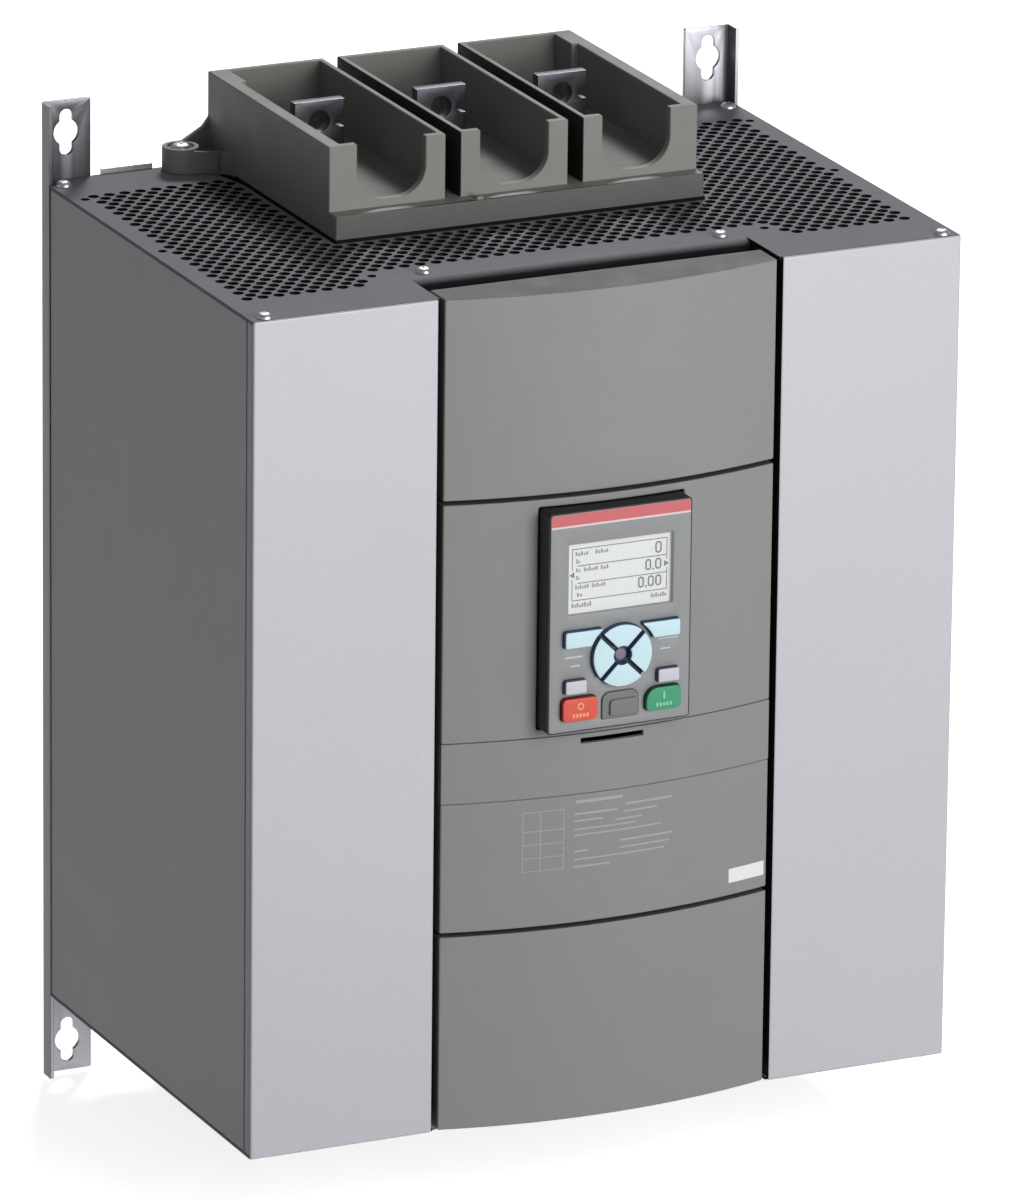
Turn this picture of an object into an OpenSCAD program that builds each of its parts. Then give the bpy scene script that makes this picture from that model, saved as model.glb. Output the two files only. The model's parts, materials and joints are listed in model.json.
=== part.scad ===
// Wall-mounted three-phase soft starter for a large motor.
// Frame: x to the right, -y towards the viewer, z up. The wall is the plane
// y = 0 and the origin is the middle of the case on that plane. Millimetres.

/* [Case] */
// Width over the side panels
case_w = 360; // [358:1:361]
// Height of the case without the ears
case_h = 407; // [405:1:409]
// Depth from the wall to the face of the silver front panels
case_d = 250.5; // [249.5:0.5:251.5]
// Thickness of the case sheet
sheet = 1.5; // [1.2:0.1:1.6]
// Diameter of the ventilation holes
vent_d = 5.4; // [4:0.2:5.4]
// Distance between two columns of ventilation holes
vent_dx = 4; // [4:0.5:5]
// Distance between two holes of one column
vent_dy = 10; // [10:0.5:12]

/* [Mounting rails] */
// Width of a rail and of its ears
rail_w = 25; // [23:1:27]
// Depth of a rail's outer flange, from the wall
rail_d = 10.5; // [10:0.5:11]
// Height of the upper ears above the case
ear_top = 38.5; // [36:0.5:42]
// Height of the lower ears below the case
ear_bottom = 42.5; // [38:0.5:44]
// Width of the keyhole's slots
key_slot = 6.6; // [5.4:0.2:7]
// Diameter of the keyhole's middle
key_hole = 12.6; // [11:0.2:14]
// Length of a keyhole, end to end
key_len = 22.6; // [20:0.2:24]

/* [Front covers] */
// Width of the plastic covers
cover_w = 169; // [167:0.5:170]
// How far the covers bulge in the middle
cover_bulge = 11.2; // [9:0.2:12]
// Wall thickness of the covers
cover_t = 2.5; // [2:0.1:3]
// Height of the gap under the upper cover, from the middle of the case
gap_upper = 105; // [103:0.5:106]
// Height of the gap over the lower cover, from the middle of the case
gap_lower = -106.3; // [-108:0.1:-105]

/* [Terminal blocks] */
// Distance between two phases at the terminals
pole_pitch = 63; // [62.5:0.5:63.5]
// Inner width of one terminal cup
cup_w = 49.5; // [48:0.5:50]
// Height of the block's base
block_base = 13; // [12.5:0.5:14]
// Height of the cups over the base
cup_h = 31.4; // [29:0.2:31.8]
// Width of the notch in a cup's front wall
notch_w = 35; // [32:0.5:37]
// Width of a busbar
bar_w = 25.5; // [24:0.5:26]
// Thickness of a busbar
bar_t = 6; // [5:0.5:7]
// Diameter of the hole for the cable lug's bolt
bar_hole = 10.6; // [8.4:0.2:11]

/* [Keypad] */
// Width of the keypad
pad_w = 73; // [72:0.5:74]
// Height of the keypad
pad_h = 107.4; // [107:0.2:108]
// How far the keys travel
key_travel = 0.8; // [0.6:0.1:0.9]
// Gap between a key and its opening
key_gap = 0.3; // [0.25:0.05:0.4]

/* [Power stack] */
// Distance between two power stacks
stack_pitch = 112; // [110:1:113]
// Number of fins of one heat sink
fins = 13; // [9:1:14]
// Size of a fan's square frame
fan_w = 119; // [110:1:120]

/* [Hidden] */

W2 = case_w / 2;
H2 = case_h / 2;
D = case_d;
T = sheet;
C2 = cover_w / 2;
panel_in = C2 + 3.1;                 // inner edge of the silver panels
cover_back = -238;                   // plane on which the covers sit
cover_r = (C2 * C2 + cover_bulge * cover_bulge) / (2 * cover_bulge);
cover_c = cover_r - D - cover_bulge; // centre of the covers' bulge, in y
rail_o = W2 + 0.5;                   // outer face of the rails
key_zt = H2 + ear_top - 15.8;        // keyhole heights
key_zb = -H2 - ear_bottom + 15.8;
key_x = rail_o - rail_w / 2;
slot_y = -212;                       // front edge of the grille in the middle
bar_y = -57;                         // middle plane of the busbars
cup_t = 3;                           // inner walls of the cups
block_w2 = pole_pitch + cup_w / 2 + 7; // half width of a terminal block
lug_x = 112.5;
lug_y = -9.4;
lug_r = 8.9;
screw_front = [172.5, -245];
screw_mid = [76, -207.5];
screw_back = [174, -13];

dark = [0.40, 0.40, 0.42];
sidegrey = [0.62, 0.62, 0.64];
silver = [0.78, 0.78, 0.80];
zinc = [0.72, 0.72, 0.74];
black = [0.09, 0.09, 0.09];
covergrey = [0.57, 0.58, 0.56];
olive = [0.42, 0.42, 0.40];
copper = [0.42, 0.40, 0.44];
alu = [0.70, 0.71, 0.73];
pcb = [0.10, 0.35, 0.18];
keyblue = [0.74, 0.88, 0.97];

// ---------- helpers ----------

// Flat shape drawn in x and z, extruded towards the viewer from y by t
module front_plate(y, t) { translate([0, y, 0]) rotate([90, 0, 0]) linear_extrude(t) children(); }

// Rectangle with round corners from (x0,z0) to (x1,z1)
module rrect(x0, z0, x1, z1, r) {
  translate([x0 + r, z0]) square([x1 - x0 - 2 * r, z1 - z0]);
  translate([x0, z0 + r]) square([x1 - x0, z1 - z0 - 2 * r]);
  for (x = [x0 + r, x1 - r], z = [z0 + r, z1 - r]) translate([x, z]) circle(r = r, $fn = 32);
}

module box(x0, y0, z0, x1, y1, z1) { translate([x0, y0, z0]) cube([x1 - x0, y1 - y0, z1 - z0]); }

// ---------- rails and case ----------

module keyhole() {
  e = key_len / 2 - key_slot / 2;
  circle(d = key_hole, $fn = 48);
  translate([-key_slot / 2, -e]) square([key_slot, 2 * e]);
  for (s = [-1, 1]) translate([0, s * e]) circle(d = key_slot, $fn = 32);
}

module rail_right() {
  color(zinc) union() {
    front_plate(0, 2) difference() {
      rrect(rail_o - rail_w, -H2 - ear_bottom, rail_o, H2 + ear_top, 1);
      translate([key_x, key_zt]) keyhole();
      translate([key_x, key_zb]) keyhole();
    }
    box(rail_o - 2, -rail_d, -H2 - ear_bottom, rail_o, -1, H2 + ear_top);
  }
}

module rear_panel() {
  fold = 150;
  color(zinc) difference() {
    union() {
      translate([0, 0, -H2 + T]) linear_extrude(case_h - 2 * T) {
        translate([-fold, -T]) square([2 * fold, T]);
        // joggled edges that lie on the plates of the rails
        for (s = [0, 1]) mirror([s, 0]) {
          translate([fold - T, -2 - T]) square([T, 2 + T]);
          translate([fold - T, -2 - T]) square([W2 - T - 1 - fold + T, T]);
        }
      }
      for (s = [0, 1]) mirror([0, 0, s]) {
        box(-fold + 0.5, -22, H2 - 2 * T, fold - 0.5, -T, H2 - T);
        box(-W2 + 3, -22, H2 - 2 * T, W2 - 3, -2, H2 - T);
        // the sheet stands a little proud of the grille beside the terminal block
        for (t = [0, 1]) mirror([t, 0, 0]) box(lug_x + lug_r + 2, -T, H2 - 2 * T, fold, 0, H2 + 2.6);
      }
    }
    for (s = [-1, 1], t = [0, 1]) mirror([0, 0, t]) {
      translate([s * screw_back[0], screw_back[1], H2 - 5]) cylinder(r = 2.05, h = 8, $fn = 24);
      translate([s * lug_x, lug_y, H2 - 5]) cylinder(r = 2.6, h = 8, $fn = 24);
    }
  }
}

module side_right() {
  color(sidegrey) union() {
    difference() {
      box(W2 - T, -D + T, -H2 + T, W2, -rail_d - 0.6, H2 - T);
      box(W2 - 0.4, -D + 7.6, -H2, W2 + 1, -D + 8.4, H2);
    }
    box(W2 - 14, -rail_d - 0.6 - T, -H2 + 12, W2 - T, -rail_d - 0.6, H2 - 12);
  }
}

module front_panel_right_() {
  color(silver) difference() {
    union() {
      box(panel_in, -D, -H2, W2, -D + T, H2);
      box(panel_in, -D + T, -H2 + T, panel_in + T, cover_back + 3, H2 - T);
      for (s = [0, 1]) mirror([0, 0, s]) box(panel_in + T, -D + T, H2 - 2 * T, W2 - T, -D + 14, H2 - T);
    }
    for (t = [0, 1]) mirror([0, 0, t])
      translate([screw_front[0], screw_front[1], H2 - 5]) cylinder(r = 2.05, h = 8, $fn = 24);
  }
}

// One column of ventilation holes from y0 back to y1; odd columns start half a step on
module vent_column(x, n, y0, y1) {
  off = (n % 2 == 0) ? 0 : vent_dy / 2;
  for (y = [y0 + off : vent_dy : y1]) translate([x, y]) circle(d = vent_d, $fn = 16);
}

module grille_2d() {
  e = 0.6;
  difference() {
    polygon([[-W2, -rail_d - e], [-rail_o + 2 + e, -rail_d - e], [-rail_o + 2 + e, -2 - e],
      [-rail_o + rail_w + e, -2 - e], [-rail_o + rail_w + e, -T - 0.3],
      [rail_o - rail_w - e, -T - 0.3], [rail_o - rail_w - e, -2 - e],
      [rail_o - 2 - e, -2 - e], [rail_o - 2 - e, -rail_d - e], [W2, -rail_d - e],
      [W2, -D + T], [C2 + 2, -D + T], [C2 + 2, slot_y], [-C2 - 2, slot_y], [-C2 - 2, -D + T], [-W2, -D + T]]);
    // perforated wings beside the terminal block, kept clear of its lugs
    for (n = [25 : 42], s = [-1, 1]) vent_column(s * n * vent_dx, n, n < 27 ? -195 : -215, -32);
    // perforated strip in front of the terminal block
    for (n = [-24 : 24]) vent_column(n * vent_dx, n + 100, -195, -154);
    // screw holes, locating holes and busbar openings
    for (s = [-1, 1]) {
      for (p = [screw_front, screw_mid, screw_back]) translate([s * p[0], p[1]]) circle(r = 2.05, $fn = 24);
      translate([s * lug_x, lug_y]) circle(r = 2.6, $fn = 24);
      for (p = [[173.5, -38], [173.5, -130], [100.5, -204]]) translate([s * p[0], p[1]]) circle(r = 2.2, $fn = 20);
    }
    for (i = [-1 : 1]) translate([i * pole_pitch - bar_w / 2 - 2, bar_y - bar_t / 2 - 2]) square([bar_w + 4, bar_t + 4]);
  }
}

module grille() {
  color(dark) union() {
    translate([0, 0, H2 - T]) linear_extrude(T) grille_2d();
    for (s = [0, 1]) mirror([s, 0, 0]) box(W2 - 2 * T, -227, H2 - 14, W2 - T, -32, H2 - T);
  }
}

module pan_screw(len) {
  // head upwards, bearing face on z = 0
  rotate_extrude($fn = 40) polygon([[0, 2.4], [2.2, 2.2], [3.3, 1.5], [3.8, 0.5], [3.8, 0], [2, 0], [2, -len], [0, -len]]);
}

module cross_recess() {
  for (a = [0, 90]) rotate([0, 0, a]) translate([-2.1, -0.45, 1.0]) cube([4.2, 0.9, 3]);
}

module case_screws() {
  color(zinc) for (t = [0, 1], s = [-1, 1], p = [screw_front, screw_mid, screw_back])
    mirror([0, 0, t]) translate([s * p[0], p[1], H2]) difference() { pan_screw(7); cross_recess(); }
}

// ---------- front frame and covers ----------

module front_frame() {
  color(black) difference() {
    union() {
      front_plate(cover_back + 3, 3) translate([-panel_in, -H2 + 4]) square([2 * panel_in, case_h - 8]);
      // arms that take the middle case screws
      for (t = [0, 1], s = [-1, 1]) mirror([0, 0, t]) {
        box(s * 76 - 6, cover_back + 3, H2 - 12, s * 76 + 6, screw_mid[1] + 6, H2 - 6);
        box(s * 76 - 6, screw_mid[1] - 8, H2 - 6, s * 76 + 6, screw_mid[1] + 6, H2 - T);
      }
      // plinth on which the keypad sits
      front_plate(cover_back, 5.7) rrect(pad_x0 + 5, pad_z0 + 5, pad_x1 - 5, pad_z1 - 5, 3);
      // posts of the control board
      for (x = [-70, 70], z = [-96, 100]) translate([x, cover_back + 3, z]) rotate([-90, 0, 0]) cylinder(r = 4, h = 15, $fn = 32);
    }
    front_plate(cover_back + 4, 6) rrect(-76, 114, 76, 190, 4);
    front_plate(cover_back + 4, 6) rrect(-76, -190, 76, -116, 4);
    front_plate(cover_back + 4, 12) rrect(-18, 30, 12, 60, 3);
    for (t = [0, 1], s = [-1, 1]) mirror([0, 0, t])
      translate([s * screw_mid[0], screw_mid[1], H2 - 14]) cylinder(r = 2.05, h = 16, $fn = 24);
  }
}

module bulge_2d(inset, back) {
  intersection() {
    translate([0, cover_c]) circle(r = cover_r - inset, $fn = 240);
    translate([-C2 + inset, -300]) square([cover_w - 2 * inset, 300 + back]);
  }
}

// A cover between two heights, open at the back, with its own end walls
module cover_shell(z0, z1, back) {
  difference() {
    translate([0, 0, z0]) linear_extrude(z1 - z0) bulge_2d(0, back);
    translate([0, 0, z0 + cover_t]) linear_extrude(z1 - z0 - 2 * cover_t) bulge_2d(cover_t, back + 5);
  }
}

module end_cover(z0, z1) {
  color(covergrey) union() {
    cover_shell(z0, z1, cover_back - 0.3);
    // lip over the cable opening at the end of the case
    box(-C2, cover_back - 0.3, z1 - cover_t, C2, -233, z1);
  }
}

pad_x0 = -39.5;
pad_x1 = pad_x0 + pad_w;
pad_z1 = 99.7;
pad_z0 = pad_z1 - pad_h;
strip_z1 = -12.2;
strip_z0 = -41.9;

module middle_cover() {
  color(covergrey) difference() {
    union() {
      cover_shell(gap_lower + 1, gap_upper - 1, cover_back);
      // web behind the option strip
      translate([0, 0, strip_z0 - 2.5]) linear_extrude(strip_z1 - strip_z0 + 5) difference() {
        bulge_2d(cover_t, -247);
        translate([0, cover_c]) circle(r = cover_r - 5.2, $fn = 240);
      }
    }
    // seat of the option strip
    translate([0, 0, strip_z0]) linear_extrude(strip_z1 - strip_z0) difference() {
      translate([-C2 - 5, -300]) square([cover_w + 10, 300 - 246]);
      translate([0, cover_c]) circle(r = cover_r - cover_t, $fn = 240);
    }
    // opening for the keypad
    front_plate(-232, 60) translate([pad_x0 - 0.5, pad_z0 - 0.5]) square([pad_w + 1, pad_h + 1]);
    // way in behind the strip's release slot
    box(-19, -275, -18, 15, -242, -13.7);
  }
}

module option_cover() {
  color(covergrey) translate([0, 0, strip_z0 + 0.15]) difference() {
    linear_extrude(strip_z1 - strip_z0 - 0.3) difference() {
      intersection() {
        translate([0, cover_c]) circle(r = cover_r, $fn = 240);
        translate([-C2, -300]) square([cover_w, 300 - 248.5]);
      }
      translate([0, cover_c]) circle(r = cover_r - cover_t, $fn = 240);
    }
    box(-18, -275, 24.6, 14, -247, 27.2);
  }
}

// ---------- terminals ----------

module notch_2d() {
  r = 14;
  translate([-notch_w / 2, r]) square([notch_w, 60]);
  translate([-notch_w / 2 + r, 0]) square([notch_w - 2 * r, 60]);
  for (s = [-1, 1]) translate([s * (notch_w / 2 - r), r]) circle(r = r, $fn = 48);
}

// Fixing lug on the right of a block: screw boss on a flared arm with two ribs
module block_lug() {
  bw = block_w2;
  fy = lug_y - 17;
  translate([lug_x, lug_y, H2]) cylinder(r = lug_r, h = 12, $fn = 48);
  translate([0, 0, H2]) linear_extrude(7)
    polygon([[bw - 1, -0.5], [lug_x, -0.5], [lug_x, lug_y - lug_r], [bw - 1, fy]]);
  // rib along the front of the arm, faired into the wall
  translate([0, 0, H2]) linear_extrude(11) {
    polygon([[bw - 1, fy], [lug_x, lug_y - lug_r], [lug_x, lug_y - lug_r + 3], [bw - 1, fy + 3.5]]);
    difference() {
      translate([bw - 1, fy - 5.3]) square([5.9, 7.4]);
      translate([bw + 8, fy - 5.3]) circle(r = 8, $fn = 48);
    }
  }
  // rib along the back, rising against the wall
  front_plate(-0.5, 3) {
    translate([bw - 1, H2]) square([lug_x - bw + 1, 12]);
    polygon([[bw - 1, H2 + 11.5], [bw + 14, H2 + 11.5], [bw + 14, H2 + 12], [bw + 3.5, H2 + 18], [bw, H2 + 22.5], [bw - 1, H2 + 22.5]]);
  }
}

// Block for the upper side, standing on the case
module terminal_block() {
  zb = H2;
  zc = H2 + block_base;
  color(olive) difference() {
    union() {
      box(-block_w2, -150.5, zb, block_w2, -0.5, zc);
      box(-cup_w / 2 - cup_t, -142.5, zc - 1, cup_w / 2 + cup_t, -0.5, zc + cup_h);
      for (s = [0, 1]) mirror([s, 0, 0]) {
        box(pole_pitch - cup_w / 2 - cup_t, -142.5, zc - 1, block_w2, -0.5, zc + cup_h);
        block_lug();
      }
      // catch on the ledge
      box(-22.6, -150, zc - 1, -19.2, -146.4, zc + 1.5);
    }
    for (i = [-1 : 1]) {
      // inside of the cup, narrower at the back of the outer ones, and the notch in its front wall
      box(i * pole_pitch - cup_w / 2, -138, zc + 1.5, i * pole_pitch + cup_w / 2, -24, zc + cup_h + 5);
      box(i * pole_pitch - cup_w / 2 + (i < 0 ? 3 : 0), -30, zc + 1.5, i * pole_pitch + cup_w / 2 - (i > 0 ? 3 : 0), -4, zc + cup_h + 5);
      translate([i * pole_pitch, 0, zc + 3.5]) front_plate(-132, 15) notch_2d();
      // way of the busbar through the floor
      box(i * pole_pitch - bar_w / 2 - 0.5, bar_y - bar_t / 2 - 0.5, zb - 1, i * pole_pitch + bar_w / 2 + 0.5, bar_y + bar_t / 2 + 0.5, zc + 5);
      // the base is hollow underneath
      for (y = [[-147.5, bar_y - 8], [bar_y + 8, -3.5]])
        box(i * pole_pitch - 29 + (i < 0 ? 1.5 : 0), y[0], zb - 1, i * pole_pitch + 29 - (i > 0 ? 1.5 : 0), y[1], zb + 10);
    }
    // slot beside the catch
    box(-30.5, -149, zc - 3, -24.5, -147, zc + 5);
    for (s = [-1, 1]) translate([s * lug_x, lug_y, zb]) {
      translate([0, 0, -1]) cylinder(r = 2.6, h = 20, $fn = 24);
      translate([0, 0, 10.5]) cylinder(r = 6.3, h = 10, $fn = 40);
    }
  }
}

module terminal_block_screws() {
  color(zinc) for (t = [0, 1], s = [-1, 1]) mirror([0, 0, t]) translate([s * lug_x, lug_y, H2 + 10.5])
    difference() {
      union() {
        rotate_extrude($fn = 40) polygon([[0, 2.6], [3, 2.4], [4.4, 1.5], [5, 0.4], [5, 0], [2.5, 0], [2.5, -16], [0, -16]]);
      }
      cross_recess();
    }
}

// Busbar of phase i (-1, 0, 1) on the upper side: lug end, crossing piece, stack end
module busbar(i) {
  xt = i * pole_pitch;
  xs = i * stack_pitch;
  b = bar_w / 2;
  zt = H2 + block_base + cup_h - 2.8;
  lo = min(xt, xs) - b;
  hi = max(xt, xs) + b;
  color(copper) front_plate(bar_y + bar_t / 2, bar_t) difference() {
    union() {
      translate([xt - b, 140]) square([bar_w, zt - 140]);
      translate([lo, 140]) square([hi - lo, bar_w]);
      translate([xs - b, 62]) square([bar_w, 90]);
    }
    translate([xt, zt - 10]) circle(d = bar_hole, $fn = 40);
    // side notches that keep the cable lug from turning
    for (s = [-1, 1]) translate([xt + s * (b - 2), zt - 11.2]) { circle(r = 2.3, $fn = 24); translate([s > 0 ? 0 : -5, -2.3]) square([5, 4.6]); }
  }
}

// ---------- power stack ----------

module heat_sink(i) {
  w = 106;
  d = 84;
  step = (w - 2.4) / (fins - 1);
  color(alu) translate([i * stack_pitch - w / 2, 0, -H2 + T + 25.5]) linear_extrude(290) {
    translate([0, -106]) square([w, 10]);
    for (k = [0 : fins - 1]) translate([k * step, -106 - d]) square([2.4, d + 0.5]);
  }
}

module thyristor_module(i) {
  color([0.15, 0.15, 0.16]) translate([i * stack_pitch, 0, 0]) union() {
    box(-47, -96, -55, 47, -72, 55);
    for (z = [-1, 1]) {
      box(-15, -96, z > 0 ? 55 : -118, 15, -76, z > 0 ? 118 : -55);
      translate([0, -76, z * 95]) rotate([-90, 0, 0]) cylinder(r = 10, h = bar_y - bar_t / 2 + 76, $fn = 40);
    }
  }
}

module bypass_contactor(i) {
  color([0.20, 0.20, 0.21]) translate([i * stack_pitch, 0, 0]) union() {
    box(-36, -48, -58, 36, -T, 58);
    box(-28, -54, -40, 28, -48, 40);
    for (z = [-1, 1]) box(-14, bar_y + bar_t / 2, z > 0 ? 58 : -118, 14, -28, z > 0 ? 118 : -58);
  }
}

module current_transformer(i) {
  color([0.12, 0.14, 0.30]) difference() {
    box(i * pole_pitch - 27, bar_y - 18, -H2 + T, i * pole_pitch + 27, bar_y + 18, -H2 + T + 24);
    box(i * pole_pitch - bar_w / 2 - 1, bar_y - bar_t / 2 - 1, -H2 - 1, i * pole_pitch + bar_w / 2 + 1, bar_y + bar_t / 2 + 1, -H2 + 40);
  }
}

fan_y = -142;
fan_z = -H2 + T;
function fan_x(s) = s * 66;

module fan_frame(s) {
  color(black) translate([fan_x(s), fan_y, fan_z]) union() {
    difference() {
      box(-fan_w / 2, -fan_w / 2, 0, fan_w / 2, fan_w / 2, 25.5);
      translate([0, 0, -1]) cylinder(r = 57, h = 30, $fn = 96);
      for (x = [-1, 1], y = [-1, 1]) translate([x * 52.5, y * 52.5, -1]) cylinder(r = 2.2, h = 30, $fn = 20);
    }
    // hub of the stator on four spokes, with the bearing bore
    difference() {
      union() {
        cylinder(r = 27, h = 4, $fn = 64);
        for (a = [45 : 90 : 315]) rotate([0, 0, a]) box(26, -2.5, 0, 57.5, 2.5, 3);
      }
      translate([0, 0, 1]) cylinder(r = 3.05, h = 10, $fn = 32);
    }
  }
}

module fan_rotor(s) {
  color([0.13, 0.13, 0.13]) translate([fan_x(s), fan_y, fan_z]) union() {
    translate([0, 0, 1.3]) cylinder(r = 3, h = 6, $fn = 32);
    translate([0, 0, 5]) cylinder(r = 27, h = 18, $fn = 64);
    intersection() {
      for (k = [0 : 6]) rotate([0, 0, k * 360 / 7]) translate([25, 0, 14]) rotate([38, 0, 0]) box(0, -11, -0.8, 34, 11, 0.8);
      translate([0, 0, 5.5]) cylinder(r = 55.5, h = 17, $fn = 96);
    }
  }
}

// ---------- boards ----------

spacer_x = [-158, -66, 66, 158];

module firing_board() {
  color(pcb) difference() {
    union() {
      box(-165, -199.6, -70, 165, -198, 110);
      for (i = [-1 : 1]) for (k = [-1 : 1]) box(i * 108 + k * 26 - 9, -211, 20, i * 108 + k * 26 + 9, -199.6, 52);
      for (i = [-1 : 1]) box(i * 108 - 34, -208, -50, i * 108 + 34, -199.6, -34);
    }
    for (x = spacer_x, z = [-60, 100]) translate([x, -192, z]) rotate([90, 0, 0]) cylinder(r = 1.6, h = 12, $fn = 20);
  }
}

module board_spacers() {
  color([0.85, 0.80, 0.55]) for (x = spacer_x, z = [-60, 100]) translate([x, -190, z]) rotate([90, 0, 0]) cylinder(r = 3.2, h = 8, $fn = 6);
}

module control_board() {
  color(pcb) union() {
    box(-78, -220, -105, 78, -218.4, 180);
    box(-50, -228, -60, -10, -220, -20);
    box(10, -226, -80, 60, -220, -40);
    for (k = [0 : 3]) box(-60 + k * 30, -230, 70, -42 + k * 30, -220, 92);
  }
}

module control_terminals() {
  color([0.20, 0.42, 0.28]) difference() {
    box(-70, -236, 142, 70, -220, 168);
    for (k = [0 : 13]) {
      box(-68 + k * 10, -238, 145, -62 + k * 10, -228, 151);
      translate([-65 + k * 10, -232, 160]) rotate([90, 0, 0]) cylinder(r = 2.4, h = 6, $fn = 24);
    }
  }
}

// ---------- keypad ----------

face_y = -D - 19.7;     // surface of the face plate
key_y = face_y - 3;     // surface of the keys
function fx(u) = pad_x0 + u;
function fz(v) = pad_z1 - v;
nav_x = fx(36.9);
nav_z = fz(72);

module keypad_shell() {
  color(black) difference() {
    union() {
      difference() {
        front_plate(-244, -face_y - 244 - 0.3) rrect(pad_x0, pad_z0, pad_x1, pad_z1, 2);
        front_plate(-246, 60) translate([pad_x0 + 2, pad_z0 + 2]) square([pad_w - 4, pad_h - 4]);
        front_plate(face_y + 2.5, 10) rrect(pad_x0 + 0.7, pad_z0 + 0.7, pad_x1 - 0.7, pad_z1 - 0.7, 1.3);
      }
      for (u = [7, pad_w - 7], v = [7, pad_h - 7]) translate([fx(u), -245, fz(v)]) rotate([90, 0, 0]) cylinder(r = 3, h = -face_y - 10.5 - 245, $fn = 32);
    }
    // contact window in the back
    front_plate(-243, 4) rrect(-16, 34, 10, 56, 2);
  }
}

// Outline of a key: name, with its sides moved out by g
module key_2d(k, g) {
  if (k == "left_soft") difference() { rrect(fx(7.6) - g, fz(65.4) - g, fx(26.4) + g, fz(57.6) + g, 0.8 + g); translate([nav_x, nav_z]) circle(r = 17.2 - g, $fn = 64); }
  if (k == "right_soft") difference() { rrect(fx(47.4) - g, fz(65.4) - g, fx(66.2) + g, fz(57.6) + g, 0.8 + g); translate([nav_x, nav_z]) circle(r = 17.2 - g, $fn = 64); }
  if (k == "info") rrect(fx(7.9) - g, fz(87.8) - g, fx(18.6) + g, fz(81.4) + g, 0.8 + g);
  if (k == "remote") rrect(fx(55.4) - g, fz(87.8) - g, fx(66.1) + g, fz(81.4) + g, 0.8 + g);
  if (k == "stop") rrect(fx(6.6) - g, fz(101.2) - g, fx(24.4) + g, fz(90) + g, 2.6 + g);
  if (k == "start") rrect(fx(49.4) - g, fz(101.2) - g, fx(67.2) + g, fz(90) + g, 2.6 + g);
}

// Navigation key number n, counted a quarter turn each from the top
module nav_2d(n, g) {
  translate([nav_x, nav_z]) rotate(-90 * n) intersection() {
    difference() { circle(r = 15 + g, $fn = 72); circle(r = 4.6 - g, $fn = 48); }
    polygon([[0, 1.5 - 1.4 * g], [30, 31.5 - 1.4 * g], [-30, 31.5 - 1.4 * g]]);
  }
}

flat_keys = ["left_soft", "right_soft", "info", "remote", "stop", "start"];

module keypad_face() {
  color([0.55, 0.56, 0.56]) difference() {
    front_plate(face_y + 2.5, 2.5) difference() {
      rrect(pad_x0 + 0.7, pad_z0 + 0.7, pad_x1 - 0.7, pad_z1 - 0.7, 1.3);
      rrect(fx(10), fz(50.2), fx(63.5), fz(15.8), 0.6);
      for (k = flat_keys) key_2d(k, key_gap);
      for (n = [0 : 3]) nav_2d(n, key_gap);
      translate([fx(30.4), fz(101)]) square([13, 9.4]);
    }
    // lowered cross between the navigation keys, around a full-height middle
    front_plate(face_y + 1.2, 3) translate([nav_x, nav_z]) difference() { circle(r = 15.3, $fn = 72); circle(r = 3, $fn = 40); }
    // seat of the port cover
    front_plate(face_y + 1.2, 3) rrect(fx(27.3), fz(103.1), fx(46.5), fz(89.7), 2.2);
  }
}

module display_window() { color([0.90, 0.93, 0.90]) front_plate(face_y + 2.2, 2) rrect(fx(10), fz(50.2), fx(63.5), fz(15.8), 0.6); }

module lcd_module() { color([0.75, 0.78, 0.72]) front_plate(face_y + 8.9, 6.4) translate([fx(7), fz(53.4)]) square([59.5, 40.6]); }

module keypad_board() {
  color(pcb) difference() {
    union() {
      box(fx(3), face_y + 8.9, fz(104), fx(70), face_y + 10.5, fz(3.5));
      box(fx(30.9), face_y + 2.6, fz(100.6), fx(42.9), face_y + 9, fz(92));
    }
    box(fx(32.2), face_y, fz(99.2), fx(41.6), face_y + 7, fz(93.4));
  }
}

// Cap of a key with the wider rim that keeps it behind the face plate
module key_cap(col) {
  color(col) union() {
    front_plate(face_y + 6.9, face_y + 6.9 - key_y) children(0);
    front_plate(face_y + 4.6, 1.6) children(1);
  }
}

module flat_key(k, col) { key_cap(col) { key_2d(k, 0); key_2d(k, 0.9); } }
module nav_key(n) { key_cap(keyblue) { nav_2d(n, 0); nav_2d(n, 0.6); } }

module usb_cover() {
  color([0.43, 0.43, 0.40]) union() {
    front_plate(face_y + 0.9, 1.7) rrect(fx(27.6), fz(102.8), fx(46.2), fz(90), 2);
    // raised grip
    front_plate(face_y - 0.5, 1.7) rrect(fx(31.2), fz(101.2), fx(45), fz(93.4), 1);
  }
}

// ---------- nodes ----------

mirror([1, 0, 0]) rail_right();  // mounting_rail_left
rail_right();  // mounting_rail_right
rear_panel();
mirror([1, 0, 0]) side_right();  // side_panel_left
side_right();  // side_panel_right
grille();  // top_grille
mirror([0, 0, 1]) grille();  // bottom_grille
mirror([1, 0, 0]) front_panel_right_();  // front_panel_left
front_panel_right_();  // front_panel_right
case_screws();
front_frame();
end_cover(gap_upper + 1, H2 - 0.5);  // upper_cover
middle_cover();
option_cover();
mirror([0, 0, 1]) end_cover(-gap_lower + 1, H2 - 0.5);  // lower_cover
terminal_block();  // line_terminal_block
mirror([0, 0, 1]) terminal_block();  // load_terminal_block
terminal_block_screws();
busbar(-1);  // line_busbar_1
busbar(0);  // line_busbar_2
busbar(1);  // line_busbar_3
mirror([0, 0, 1]) busbar(-1);  // load_busbar_1
mirror([0, 0, 1]) busbar(0);  // load_busbar_2
mirror([0, 0, 1]) busbar(1);  // load_busbar_3
heat_sink(-1);  // heat_sink_1
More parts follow.
